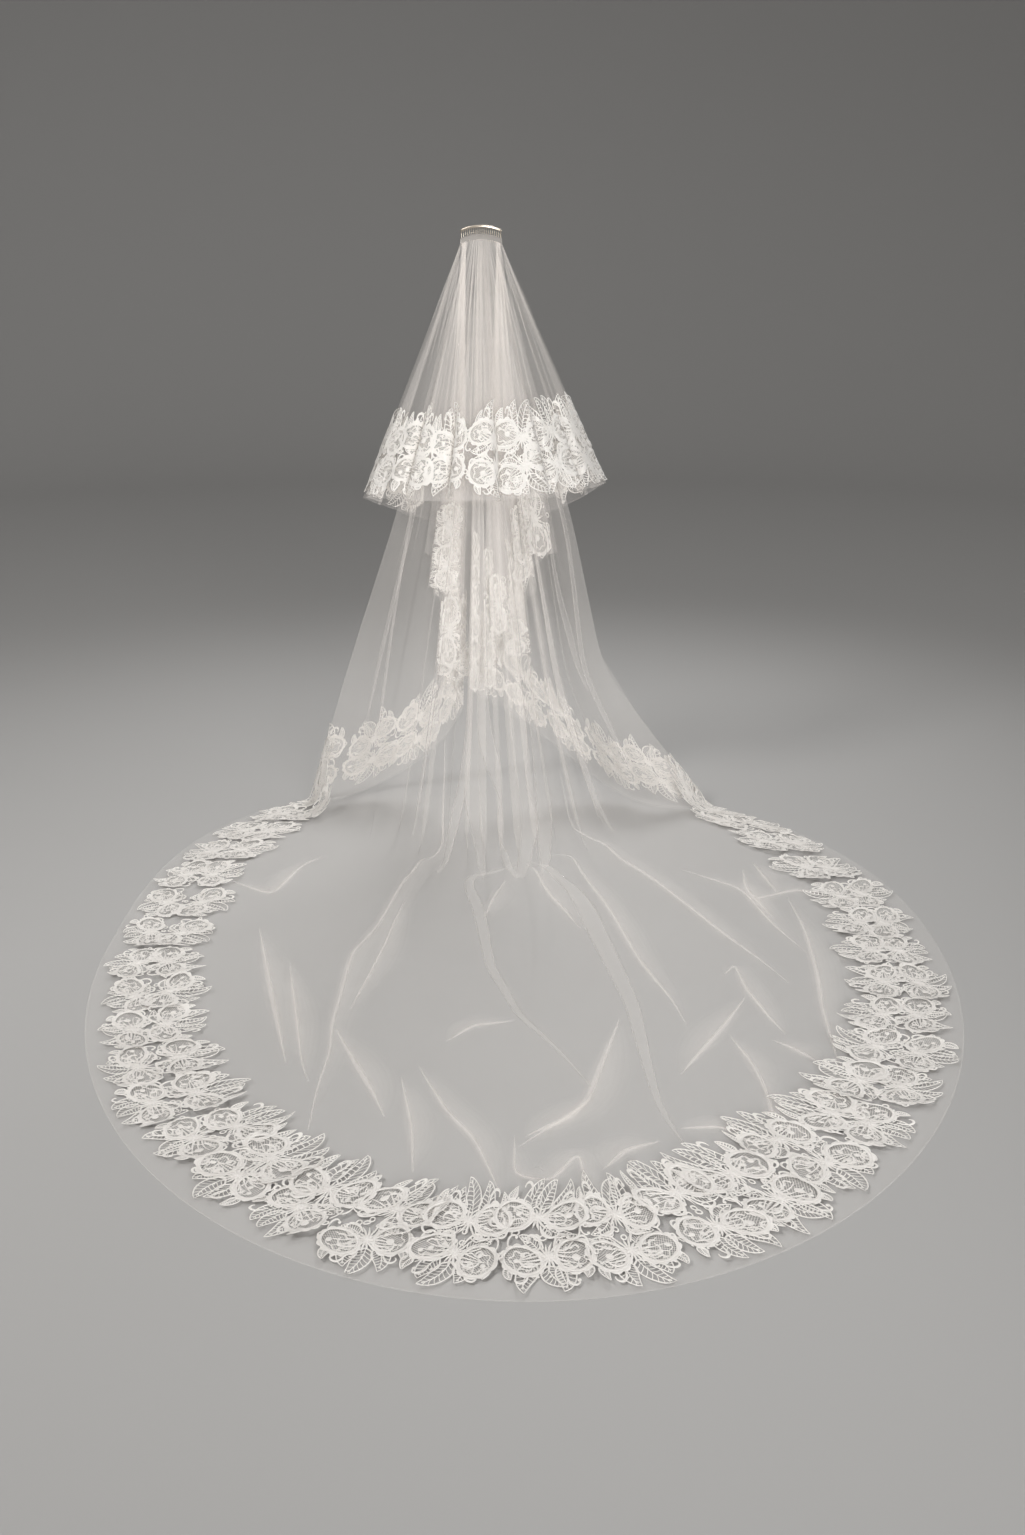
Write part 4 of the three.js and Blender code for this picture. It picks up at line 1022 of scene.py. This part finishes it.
class FacingFold:
    """A flat fold of a cascade that hangs from the header and faces the front, in millimetres."""

    def __init__(self, left, right, foot, top, depth):
        self.middle, self.half = (left + right) / 2, (right - left) / 2
        self.foot, self.top, self.depth = foot, top, depth

    def place(self, across, height, forward):
        """Points at distances from the middle and heights above the floor. Past its sides it folds back."""
        layer = np.floor((across + self.half) / (2 * self.half))
        along = across - 2 * self.half * layer
        x = self.middle + np.where(layer % 2 == 0, along, -along)
        up = (height - self.foot) / (COMB_ABOVE_FLOOR - HEADER_BOTTOM - self.foot)
        x = mix(x, FACING_GATHER * x, up)
        y = mix(self.depth + 2.5 * np.sin(across * 0.09), LONG_TIER_ROOT + bend_back(x), up)
        y = y - forward + FACING_THICKNESS * np.abs(layer)
        return np.stack(np.broadcast_arrays(x, y, height - COMB_ABOVE_FLOOR), -1)

    def add_tulle(self, shape):
        """The fold's cloth: its front, what is turned back on either side, and two bright edges."""
        across = self.half * np.array([-1.9, -1.3, -1.0, -0.5, 0, 0.5, 0.999, 1.3, 1.9])
        heights = np.linspace(self.foot, FACING_TAPER[2], 14)[None]
        narrowed = 1 - 0.95 * fade(heights, *FACING_TAPER[:2])
        grid = self.place(across[:, None] * narrowed, heights, 0.0)
        shape.add_grid(grid)
        facing = np.tile([0.0, -1.0, 0.0], (heights.size, 1))
        sideways = np.tile([1.0, 0.0, 0.0], (heights.size, 1))
        for column in (2, 6):
            strip(shape, EDGE, grid[column], sideways, facing, 2.2, EDGE_HEIGHT)

    def add_lace(self, shape, kind):
        """Motifs one above the other, from the foot to the top of the lace."""
        tall = self.top - self.foot
        upright = tall > 2.2 * self.half
        room, wide, high = UPRIGHT_MOTIF if upright else LEVEL_MOTIF
        count = max(1, round(tall / room))
        step = tall / count
        fit = float(np.clip(2.6 * self.half / wide, 0.35, 0.85))
        for k in range(count):
            points = SPRAY_POINTS[(kind + k) % len(SPRAYS)]
            flat = turned(points[:, :2], math.pi / 2 * upright + RNG.uniform(-0.2, 0.2))
            height = self.foot + (k + 0.5) * step + flat[:, 1] * step / high
            shape.add(self.place(fit * flat[:, 0], height, LACE_LIFT + points[:, 2]),
                      SPRAY_FACES[(kind + k) % len(SPRAYS)])


# Materials
def set_inputs(node, values):
    for name, value in values.items():
        node.inputs[name].default_value = value


def add_node(nodes, kind, values):
    node = nodes.new(kind)
    set_inputs(node, values)
    return node


def new_material(name, values):
    """A material with values set on its main shader, and its nodes, its links and that shader."""
    material = bpy.data.materials.new(name)
    material.use_nodes = True
    nodes, links = material.node_tree.nodes, material.node_tree.links
    shader = nodes["Principled BSDF"]
    set_inputs(shader, values)
    return material, nodes, links, shader


def cloth_material(name, light, dark, alpha, roughness, bump, scale):
    """Matt cloth: two close colours in a soft pattern, and a fine weave in the surface."""
    material, nodes, links, shader = new_material(name, {
        "Roughness": roughness, "Alpha": alpha, "Sheen Weight": 0.25, "Sheen Roughness": 0.5,
        "Specular IOR Level": 0.2})
    place = nodes.new("ShaderNodeTexCoord")
    cloud = add_node(nodes, "ShaderNodeTexNoise", {"Scale": 9.0, "Detail": 4.0})
    links.new(place.outputs["Object"], cloud.inputs["Vector"])
    ramp = nodes.new("ShaderNodeValToRGB")
    for stop, position, colour in zip(ramp.color_ramp.elements, (0.3, 0.7), (dark, light)):
        stop.position = position
        stop.color = (*colour, 1)
    links.new(cloud.outputs["Fac"], ramp.inputs["Fac"])
    links.new(ramp.outputs["Color"], shader.inputs["Base Color"])
    weave = add_node(nodes, "ShaderNodeTexVoronoi", {"Scale": scale})
    links.new(place.outputs["Object"], weave.inputs["Vector"])
    relief = add_node(nodes, "ShaderNodeBump", {"Strength": bump, "Distance": 0.0006})
    links.new(weave.outputs["Distance"], relief.inputs["Height"])
    links.new(relief.outputs["Normal"], shader.inputs["Normal"])
    return material


def metal_material():
    """Softly polished champagne metal with fine marks."""
    material, nodes, links, shader = new_material("comb_metal", {
        "Base Color": (0.70, 0.62, 0.52, 1), "Metallic": 1.0})
    place = nodes.new("ShaderNodeTexCoord")
    marks = add_node(nodes, "ShaderNodeTexNoise", {"Scale": 420.0, "Detail": 3.0})
    links.new(place.outputs["Object"], marks.inputs["Vector"])
    rough = add_node(nodes, "ShaderNodeMapRange", {"To Min": 0.24, "To Max": 0.42})
    links.new(marks.outputs["Fac"], rough.inputs["Value"])
    links.new(rough.outputs["Result"], shader.inputs["Roughness"])
    return material


# Name, lighter and darker colour, alpha, roughness, strength and scale of the weave
TULLE_PAINT = cloth_material("tulle", (0.85, 0.81, 0.773), (0.81, 0.768, 0.73), 0.14, 0.85, 0.15, 900)
# The gathered header is the same tulle, painted darker: painted shade of its tight gathers
SHADED_HEADER_PAINT = cloth_material("gathered_tulle_painted_shade", (0.56, 0.53, 0.50), (0.47, 0.445, 0.42), 0.85, 0.85, 0.4,
                              900)
LACE_PAINT = cloth_material("lace", (0.90, 0.868, 0.83), (0.825, 0.793, 0.755), 1.0, 0.7, 0.5, 1400)
# A lighter copy of the lace paint: painted light, used on the lace of the short tier
PAINTED_LIGHT_LACE_PAINT = cloth_material("lace_painted_light", (0.97, 0.94, 0.90), (0.90, 0.87, 0.83), 1.0, 0.7, 0.5, 1400)
# Faint film for the painted light on the soft slope beside each crease
SLOPE_LIGHT_PAINT = cloth_material("soft_tulle_painted_light", (0.90, 0.86, 0.82), (0.86, 0.815, 0.775), 0.04, 0.85, 0.1, 900)
METAL_PAINT = metal_material()

# Surfaces of the two tiers
train = train_grid()
train_normals = normals_of(train)
left_edge, left_folds = edge_columns(LEFT_CASCADE, LEFT_ARCH,
                                     (-GATHER["cascade"], -GATHER["arch"], -GATHER["train"]), -1)
right_edge, right_folds = edge_columns(RIGHT_CASCADE[::-1], RIGHT_ARCH[::-1],
                                       (GATHER["cascade"], GATHER["arch"], GATHER["train"]), 1)
right_edge = right_edge[::-1]
# Left edge, train without the columns that it shares with the edges, and right edge: points and normals
long_parts = [(left_edge, normals_of(left_edge)), (train[1:-1], train_normals[1:-1]),
              (right_edge, normals_of(right_edge))]
short = short_grid()
short_normals = normals_of(short)
left_facing = [FacingFold(*row) for row in LEFT_FACING]
right_facing = [FacingFold(*row) for row in RIGHT_FACING]


def add_train_pleats(shape):
    """Fine gathers below the header, more of them and longer ones in the middle."""
    for k in range(GATHERS["train"]):
        share = crowded((k + 0.5 + RNG.uniform(-0.4, 0.4)) / GATHERS["train"])
        reach = RNG.uniform(0.15, 0.36 + 0.2 * math.sin(math.pi * share))
        add_pleat(shape, train, train_normals, mix(3, len(TURNS) - 5, share), int(ROWS["hanging"] * reach),
                  1.7, RNG.uniform(2, 5), 3.0, RNG.random() < 0.5)


def add_edge_pleats(shape, edge, normals, folds, from_left):
    """Fine gathers of one cascade and its arch."""
    stretches = ((3, folds - 2, GATHERS["cascade"], 17), (folds, len(edge) - 5, GATHERS["arch"], 9))
    for first, last, count, wide in stretches:
        for k in range(count):
            column = mix(first, last, (k + 0.5 + RNG.uniform(-0.3, 0.3)) / count)
            column = column if from_left else len(edge) - 1 - column
            add_pleat(shape, edge, normals, column, int(ROWS["edges"] * RNG.uniform(0.6, 1.0)), 2.8,
                      RNG.uniform(0.5, 1) * wide, 2.5, RNG.random() < 0.5)


def add_short_pleats(shape):
    for k in range(GATHERS["short"]):
        share = crowded((k + 0.5 + RNG.uniform(-0.4, 0.4)) / GATHERS["short"])
        reach = RNG.uniform(0.4, 1.0)
        add_pleat(shape, short, short_normals, mix(4, len(short) - 6, share), int(ROWS["short"] * reach),
                  1.5, RNG.uniform(3, 8), 2.5, RNG.random() < 0.5)


# Tulle of the long tier
long_shape = Shape()
for surface in (left_edge, train, right_edge):
    long_shape.add_grid(surface)
for table in PANELS:
    add_panel(long_shape, train, train_normals, TURNS, ROWS["hanging"] + 1, table)
add_train_pleats(long_shape)
add_edge_pleats(long_shape, *long_parts[0], left_folds, True)
add_edge_pleats(long_shape, *long_parts[2], right_folds, False)
# Faint film beside the creases: painted light on their soft slope
slope_light_shape = Shape()
floor_points = train[:, ROWS["hanging"]:].reshape(-1, 3)
for width, height, line in CREASES:
    add_crease(long_shape, slope_light_shape, floor_points, width, height, line)
add_hem(long_shape, np.concatenate([columns[:, -1] for columns, normals in long_parts]),
        np.concatenate([normals[:, -1] for columns, normals in long_parts]), HEM_WIDTH)
for fold in left_facing + right_facing:
    fold.add_tulle(long_shape)
# Its own piece, for the painted light beside the creases
slope_light_piece = make_object("train_crease_painted_light", slope_light_shape, SLOPE_LIGHT_PAINT)
long_tulle = make_object("long_tier_tulle_cloth", long_shape, TULLE_PAINT)

# Tulle of the short tier
short_shape = Shape()
short_shape.add_grid(short)
add_short_pleats(short_shape)
for table in SHORT_PANELS:
    add_panel(short_shape, short, short_normals, np.linspace(0, 1, len(short)), short.shape[1] - 1, table,
              -1)
add_hem(short_shape, short[:, -1], short_normals[:, -1], HEM_WIDTH)
short_tulle = make_object("short_tier_tulle_cloth", short_shape, TULLE_PAINT)

# Comb and header
SPINE_COLUMNS = 48
TOOTH_STEPS = np.array([0, 0.25, 0.5, 0.75, 0.93, 0.985, 1.0])
TOOTH_TAPER = np.array([1, 0.9, 0.8, 0.68, 0.55, 0.4, 0.12])
TOOTH_RADIUS = 0.9
END_TOOTH_RADIUS = 1.25
HEADER_PLEATS = 58
PLEAT_STEPS = 6
# The header's two layers: how far back each lies, and which way it faces
HEADER_LAYERS = ((-6.0, 1), (-2.2, -1))
STITCHES = 40
STITCH_RADIUS = 0.32


def wire(path, radius, sides):
    """The surface of a round wire along a path, in millimetres."""
    ahead = directions(path)
    side = unit(np.cross(ahead, [0.02, 0.97, 0.1]))
    other = np.cross(ahead, side)
    a = np.linspace(0, 2 * np.pi, sides, endpoint=False)[:, None, None]
    around = side[None] * np.cos(a) + other[None] * np.sin(a)
    return path[None] + around * np.broadcast_to(radius, len(path))[None, :, None]


def bulged(a):
    """A circle's value swollen towards a square with round corners."""
    return np.sign(a) * np.abs(a) ** 0.55


def add_spine(shape):
    x = np.linspace(-COMB_WIDTH / 2, COMB_WIDTH / 2, SPINE_COLUMNS + 1)
    turn = np.linspace(0, 2 * np.pi, 16, endpoint=False)[:, None]
    end_round = np.sqrt(np.clip(1 - (np.abs(x) / (COMB_WIDTH / 2)) ** 40, 0.04, 1))
    y = bend_back(x) + bulged(np.cos(turn)) * SPINE_DEPTH / 2 * end_round
    z = arch_drop(x) + bulged(np.sin(turn)) * SPINE_HEIGHT / 2 * end_round
    shape.add_rod(np.stack(np.broadcast_arrays(x, y, z), -1), 1)


def add_tooth(shape, k):
    x = mix(-TOOTH_SPAN / 2, TOOTH_SPAN / 2, k / (TOOTH_COUNT - 1))
    radius = END_TOOTH_RADIUS if k in (0, TOOTH_COUNT - 1) else TOOTH_RADIUS
    z = arch_drop(x) - TOOTH_LENGTH * TOOTH_STEPS
    path = np.stack([np.full(len(z), x), np.full(len(z), bend_back(x)), z], 1)
    shape.add_rod(wire(path, radius * TOOTH_TAPER, 10), -1)


def add_header_layer(shape, root, facing):
    """A row of fine pleats, from the stitches to where the tiers begin."""
    x = np.linspace(-HEADER_HALF_WIDTH, HEADER_HALF_WIDTH, HEADER_PLEATS * PLEAT_STEPS + 1)[:, None]
    phase = np.arange(len(x))[:, None] / PLEAT_STEPS * 2 * np.pi
    drops = np.linspace(HEADER_TOP + 0.4, HEADER_BOTTOM + 0.6, 8)[None]
    wave = root + facing * 0.45 * np.sin(phase + 0.6 * np.sin(x * 0.7))
    y = bend_back(x) + wave + 0.35 * np.sin(drops * 1.3) * np.sin(x * 1.7)
    z = arch_drop(x) - drops - 0.5 * np.sin(phase * 0.5) * (drops == drops[0, 0])
    grid = np.stack(np.broadcast_arrays(x, y, z), -1)
    shape.add_grid(grid[::facing])


def add_stitch(shape, k):
    """One whip stitch over the header's top edge."""
    x = mix(-HEADER_HALF_WIDTH + 1.5, HEADER_HALF_WIDTH - 1.5, k / (STITCHES - 1))
    turn = np.linspace(-0.2, 1.2, 9) * np.pi
    y = -4.1 - 2.9 * np.sin(turn) + bend_back(x)
    z = arch_drop(x) - HEADER_TOP - 2.6 + 3.4 * np.cos(turn)
    path = np.stack([x + 1.1 * (turn / np.pi - 0.5), y, z], 1)
    shape.add_grid(wire(path, STITCH_RADIUS, 6)[::-1], True)


comb_shape = Shape()
add_spine(comb_shape)
for k in range(TOOTH_COUNT):
    add_tooth(comb_shape, k)
comb_piece = make_object("comb_metalwork", comb_shape, METAL_PAINT)

header_shape = Shape()
for root, facing in HEADER_LAYERS:
    add_header_layer(header_shape, root, facing)
# The header takes the darker tulle paint with its painted shade
header_piece = make_object("gathered_header_cloth", header_shape, SHADED_HEADER_PAINT)

stitch_shape = Shape()
for k in range(STITCHES):
    add_stitch(stitch_shape, k)
# The stitches take the header's darker paint and its painted shade too
stitch_piece = make_object("header_stitches", stitch_shape, SHADED_HEADER_PAINT)

# Lace of the short tier
short_band = Band(short, SHORT_BAND_ROWS)
short_lace_shape = Shape()
sew(short_band, 45, short_band.hem[-1] - 45, lambda u: BAND["short"], PERIOD,
    [(0, PAST_ANY_HEM, short_lace_shape)], uneven=14)
# This lace takes the lighter copy of the lace paint: painted light
short_lace = make_object("short_tier_lace_band", short_lace_shape, PAINTED_LIGHT_LACE_PAINT)

# Lace of the long tier, from its left free edge to its right one
long_grid = np.concatenate([columns[:, -BAND_ROWS - 1:] for columns, normals in long_parts])
long_band = Band(long_grid, BAND_ROWS)
first_train = len(left_edge) - 1
column_turns = np.concatenate([np.full(first_train, TURNS[0]), TURNS,
                               np.full(len(right_edge) - 1, TURNS[-1])])


def hem_at_turn(turn):
    """Length along the hem where the train has a turn."""
    column = np.interp(turn, TURNS, first_train + np.arange(len(TURNS)))
    return float(np.interp(column, np.arange(len(long_band.hem)), long_band.hem))


def long_band_at(u):
    """Margin and width of the lace at a length along the hem."""
    turn = np.interp(long_band.column(u), np.arange(len(column_turns)), column_turns)
    rows = np.array(TRAIN_BAND, float)
    if abs(turn) >= rows[-1, 0]:
        return BAND["hanging"]
    return tuple(np.interp(turn, rows[:, 0], rows[:, k]) for k in (1, 2))


def lace_nodes(group, first, last):
    """Names of the CAD nodes of a group, from its first to its last."""
    return ["%s_lace_%02d" % (group, k) for k in range(first, last + 1)]


# Pieces of this lace along the hem, and the CAD nodes that each stands for: group, first and last number
LONG_LACE = [("left_cascade", "left_cascade", 1, 2), ("left_arch", "left_arch", 1, 2),
             ("left_end", "left_end", 1, 2), ("train_left", "train", 1, 6), ("train_front", "train", 7, 13),
             ("train_right", "train", 14, 19), ("right_end", "right_end", 1, 2),
             ("right_arch", "right_arch", 1, 2), ("right_cascade", "right_cascade", 1, 2)]
TRAIN_NODES = 19
train_ends = (hem_at_turn(TRAIN_BAND[0][0]), hem_at_turn(TRAIN_BAND[-1][0]))
left_ends = long_band.hem[[left_folds - 1, first_train]]
right_starts = long_band.hem[[first_train + len(TURNS) - 1, len(long_grid) - right_folds]]
piece_ends = [0, *left_ends, *(mix(*train_ends, share / TRAIN_NODES) for share in (0, 6, 13, TRAIN_NODES)),
              *right_starts, PAST_ANY_HEM]
lace_shapes = [Shape() for row in LONG_LACE]
sew(long_band, 60, long_band.hem[-1] - 60, long_band_at, PERIOD,
    list(zip(piece_ends, piece_ends[1:], lace_shapes)))
for facing, shape in ((left_facing, lace_shapes[0]), (right_facing, lace_shapes[-1])):
    for k, fold in enumerate(facing):
        fold.add_lace(shape, k)
long_lace = [(make_object(name + "_lace_band", shape, LACE_PAINT), lace_nodes(*nodes))
             for (name, *nodes), shape in zip(LONG_LACE, lace_shapes)]

# What each piece stands for, what it is made of, and what it rides on
made = [(comb_piece, ["comb"], "comb_metal"), (header_piece, ["gathered_header"], "tulle"),
        (stitch_piece, [], "tulle"), (slope_light_piece, [], "tulle"), (long_tulle, ["long_tier_tulle"], "tulle"),
        (short_tulle, ["short_tier_tulle"], "tulle"),
        (short_lace, lace_nodes("short_tier", 1, 6), "lace")]
made += [(piece, nodes, "lace") for piece, nodes in long_lace]
for piece, nodes, slot in made:
    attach(piece, "root")
    if nodes:
        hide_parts(*nodes)

# Net scatters the light onwards, so the long tier doesn't darken what lies under it
for piece in (long_tulle, slope_light_piece):
    piece.visible_shadow = False

# Studio: a pale floor that curves up into a backdrop all round
STAGE = dict(x=0.1, y=-1.0, radius=10.0, fillet=3.0, wall=6.0, sides=96, fillet_steps=12, drop=0.0008)


def stage_profile():
    """Distance from the middle and height of the floor, its fillet and the wall."""
    turn = np.linspace(0, math.pi / 2, STAGE["fillet_steps"] + 1)
    away = STAGE["radius"] - STAGE["fillet"] * (1 - np.sin(turn))
    height = STAGE["fillet"] * (1 - np.cos(turn))
    return np.concatenate([[0], away, [STAGE["radius"]]]), np.concatenate([[0], height, [STAGE["wall"]]])


def make_stage():
    away, height = stage_profile()
    turn = np.linspace(0, 2 * np.pi, STAGE["sides"], endpoint=False)[:, None]
    x = STAGE["x"] + away * np.cos(turn)
    y = STAGE["y"] + away * np.sin(turn)
    shape = Shape()
    shape.add_grid(np.stack(np.broadcast_arrays(x, y, FLOOR - STAGE["drop"] + height), -1), True)
    material, _, _, _ = new_material("pale_floor", {
        "Base Color": (0.45, 0.444, 0.437, 1), "Roughness": 0.9, "Specular IOR Level": 0.1})
    return make_object("studio_floor", shape, material, 1.0)


def link(name, data, place, turn):
    """Puts a lamp or a camera in the scene."""
    placed = bpy.data.objects.new(name, data)
    placed.location = place
    placed.rotation_euler = turn
    bpy.context.scene.collection.objects.link(placed)
    return placed


def add_lamp(name, place, aim, size, power, colour, width):
    """A round lamp that shines at a point, width degrees wide."""
    data = bpy.data.lights.new(name, "AREA")
    data.shape = "DISK"
    data.size = size
    data.energy = power
    data.color = colour
    data.spread = math.radians(width)
    link(name, data, place, (Vector(aim) - Vector(place)).to_track_quat("-Z", "Y").to_euler())


floor_object = make_stage()
add_lamp("key", (-2.6, -2.6, 2.2), (0, -0.6, -1.0), 1.1, 80, (1, 0.985, 0.965), 180)
add_lamp("fill", (1.5, -5.4, -0.1), (0, -0.1, -0.85), 2.2, 22, (1, 1, 1), 60)
add_lamp("back", (0.8, 3.2, 1.8), (0, -0.4, -0.8), 1.8, 20, (1, 1, 1), 75)
world = bpy.data.worlds.new("studio")
world.use_nodes = True
set_inputs(world.node_tree.nodes["Background"], {"Color": (1.0, 0.99, 0.975, 1), "Strength": 0.375})
bpy.context.scene.world = world
bpy.context.scene.view_settings.view_transform = "Standard"
bpy.context.scene.cycles.transparent_max_bounces = 40

CAMERA = dict(place=(0.0766, -4.3523, 0.0293), pitch=18.0, lens=40.0, sensor=36.0, sees=60.0)
camera_data = bpy.data.cameras.new("camera")
camera_data.lens = CAMERA["lens"]
camera_data.sensor_width = CAMERA["sensor"]
camera_data.clip_end = CAMERA["sees"]
camera_turn = (math.radians(90 - CAMERA["pitch"]), 0, 0)
bpy.context.scene.camera = link("camera", camera_data, CAMERA["place"], camera_turn)
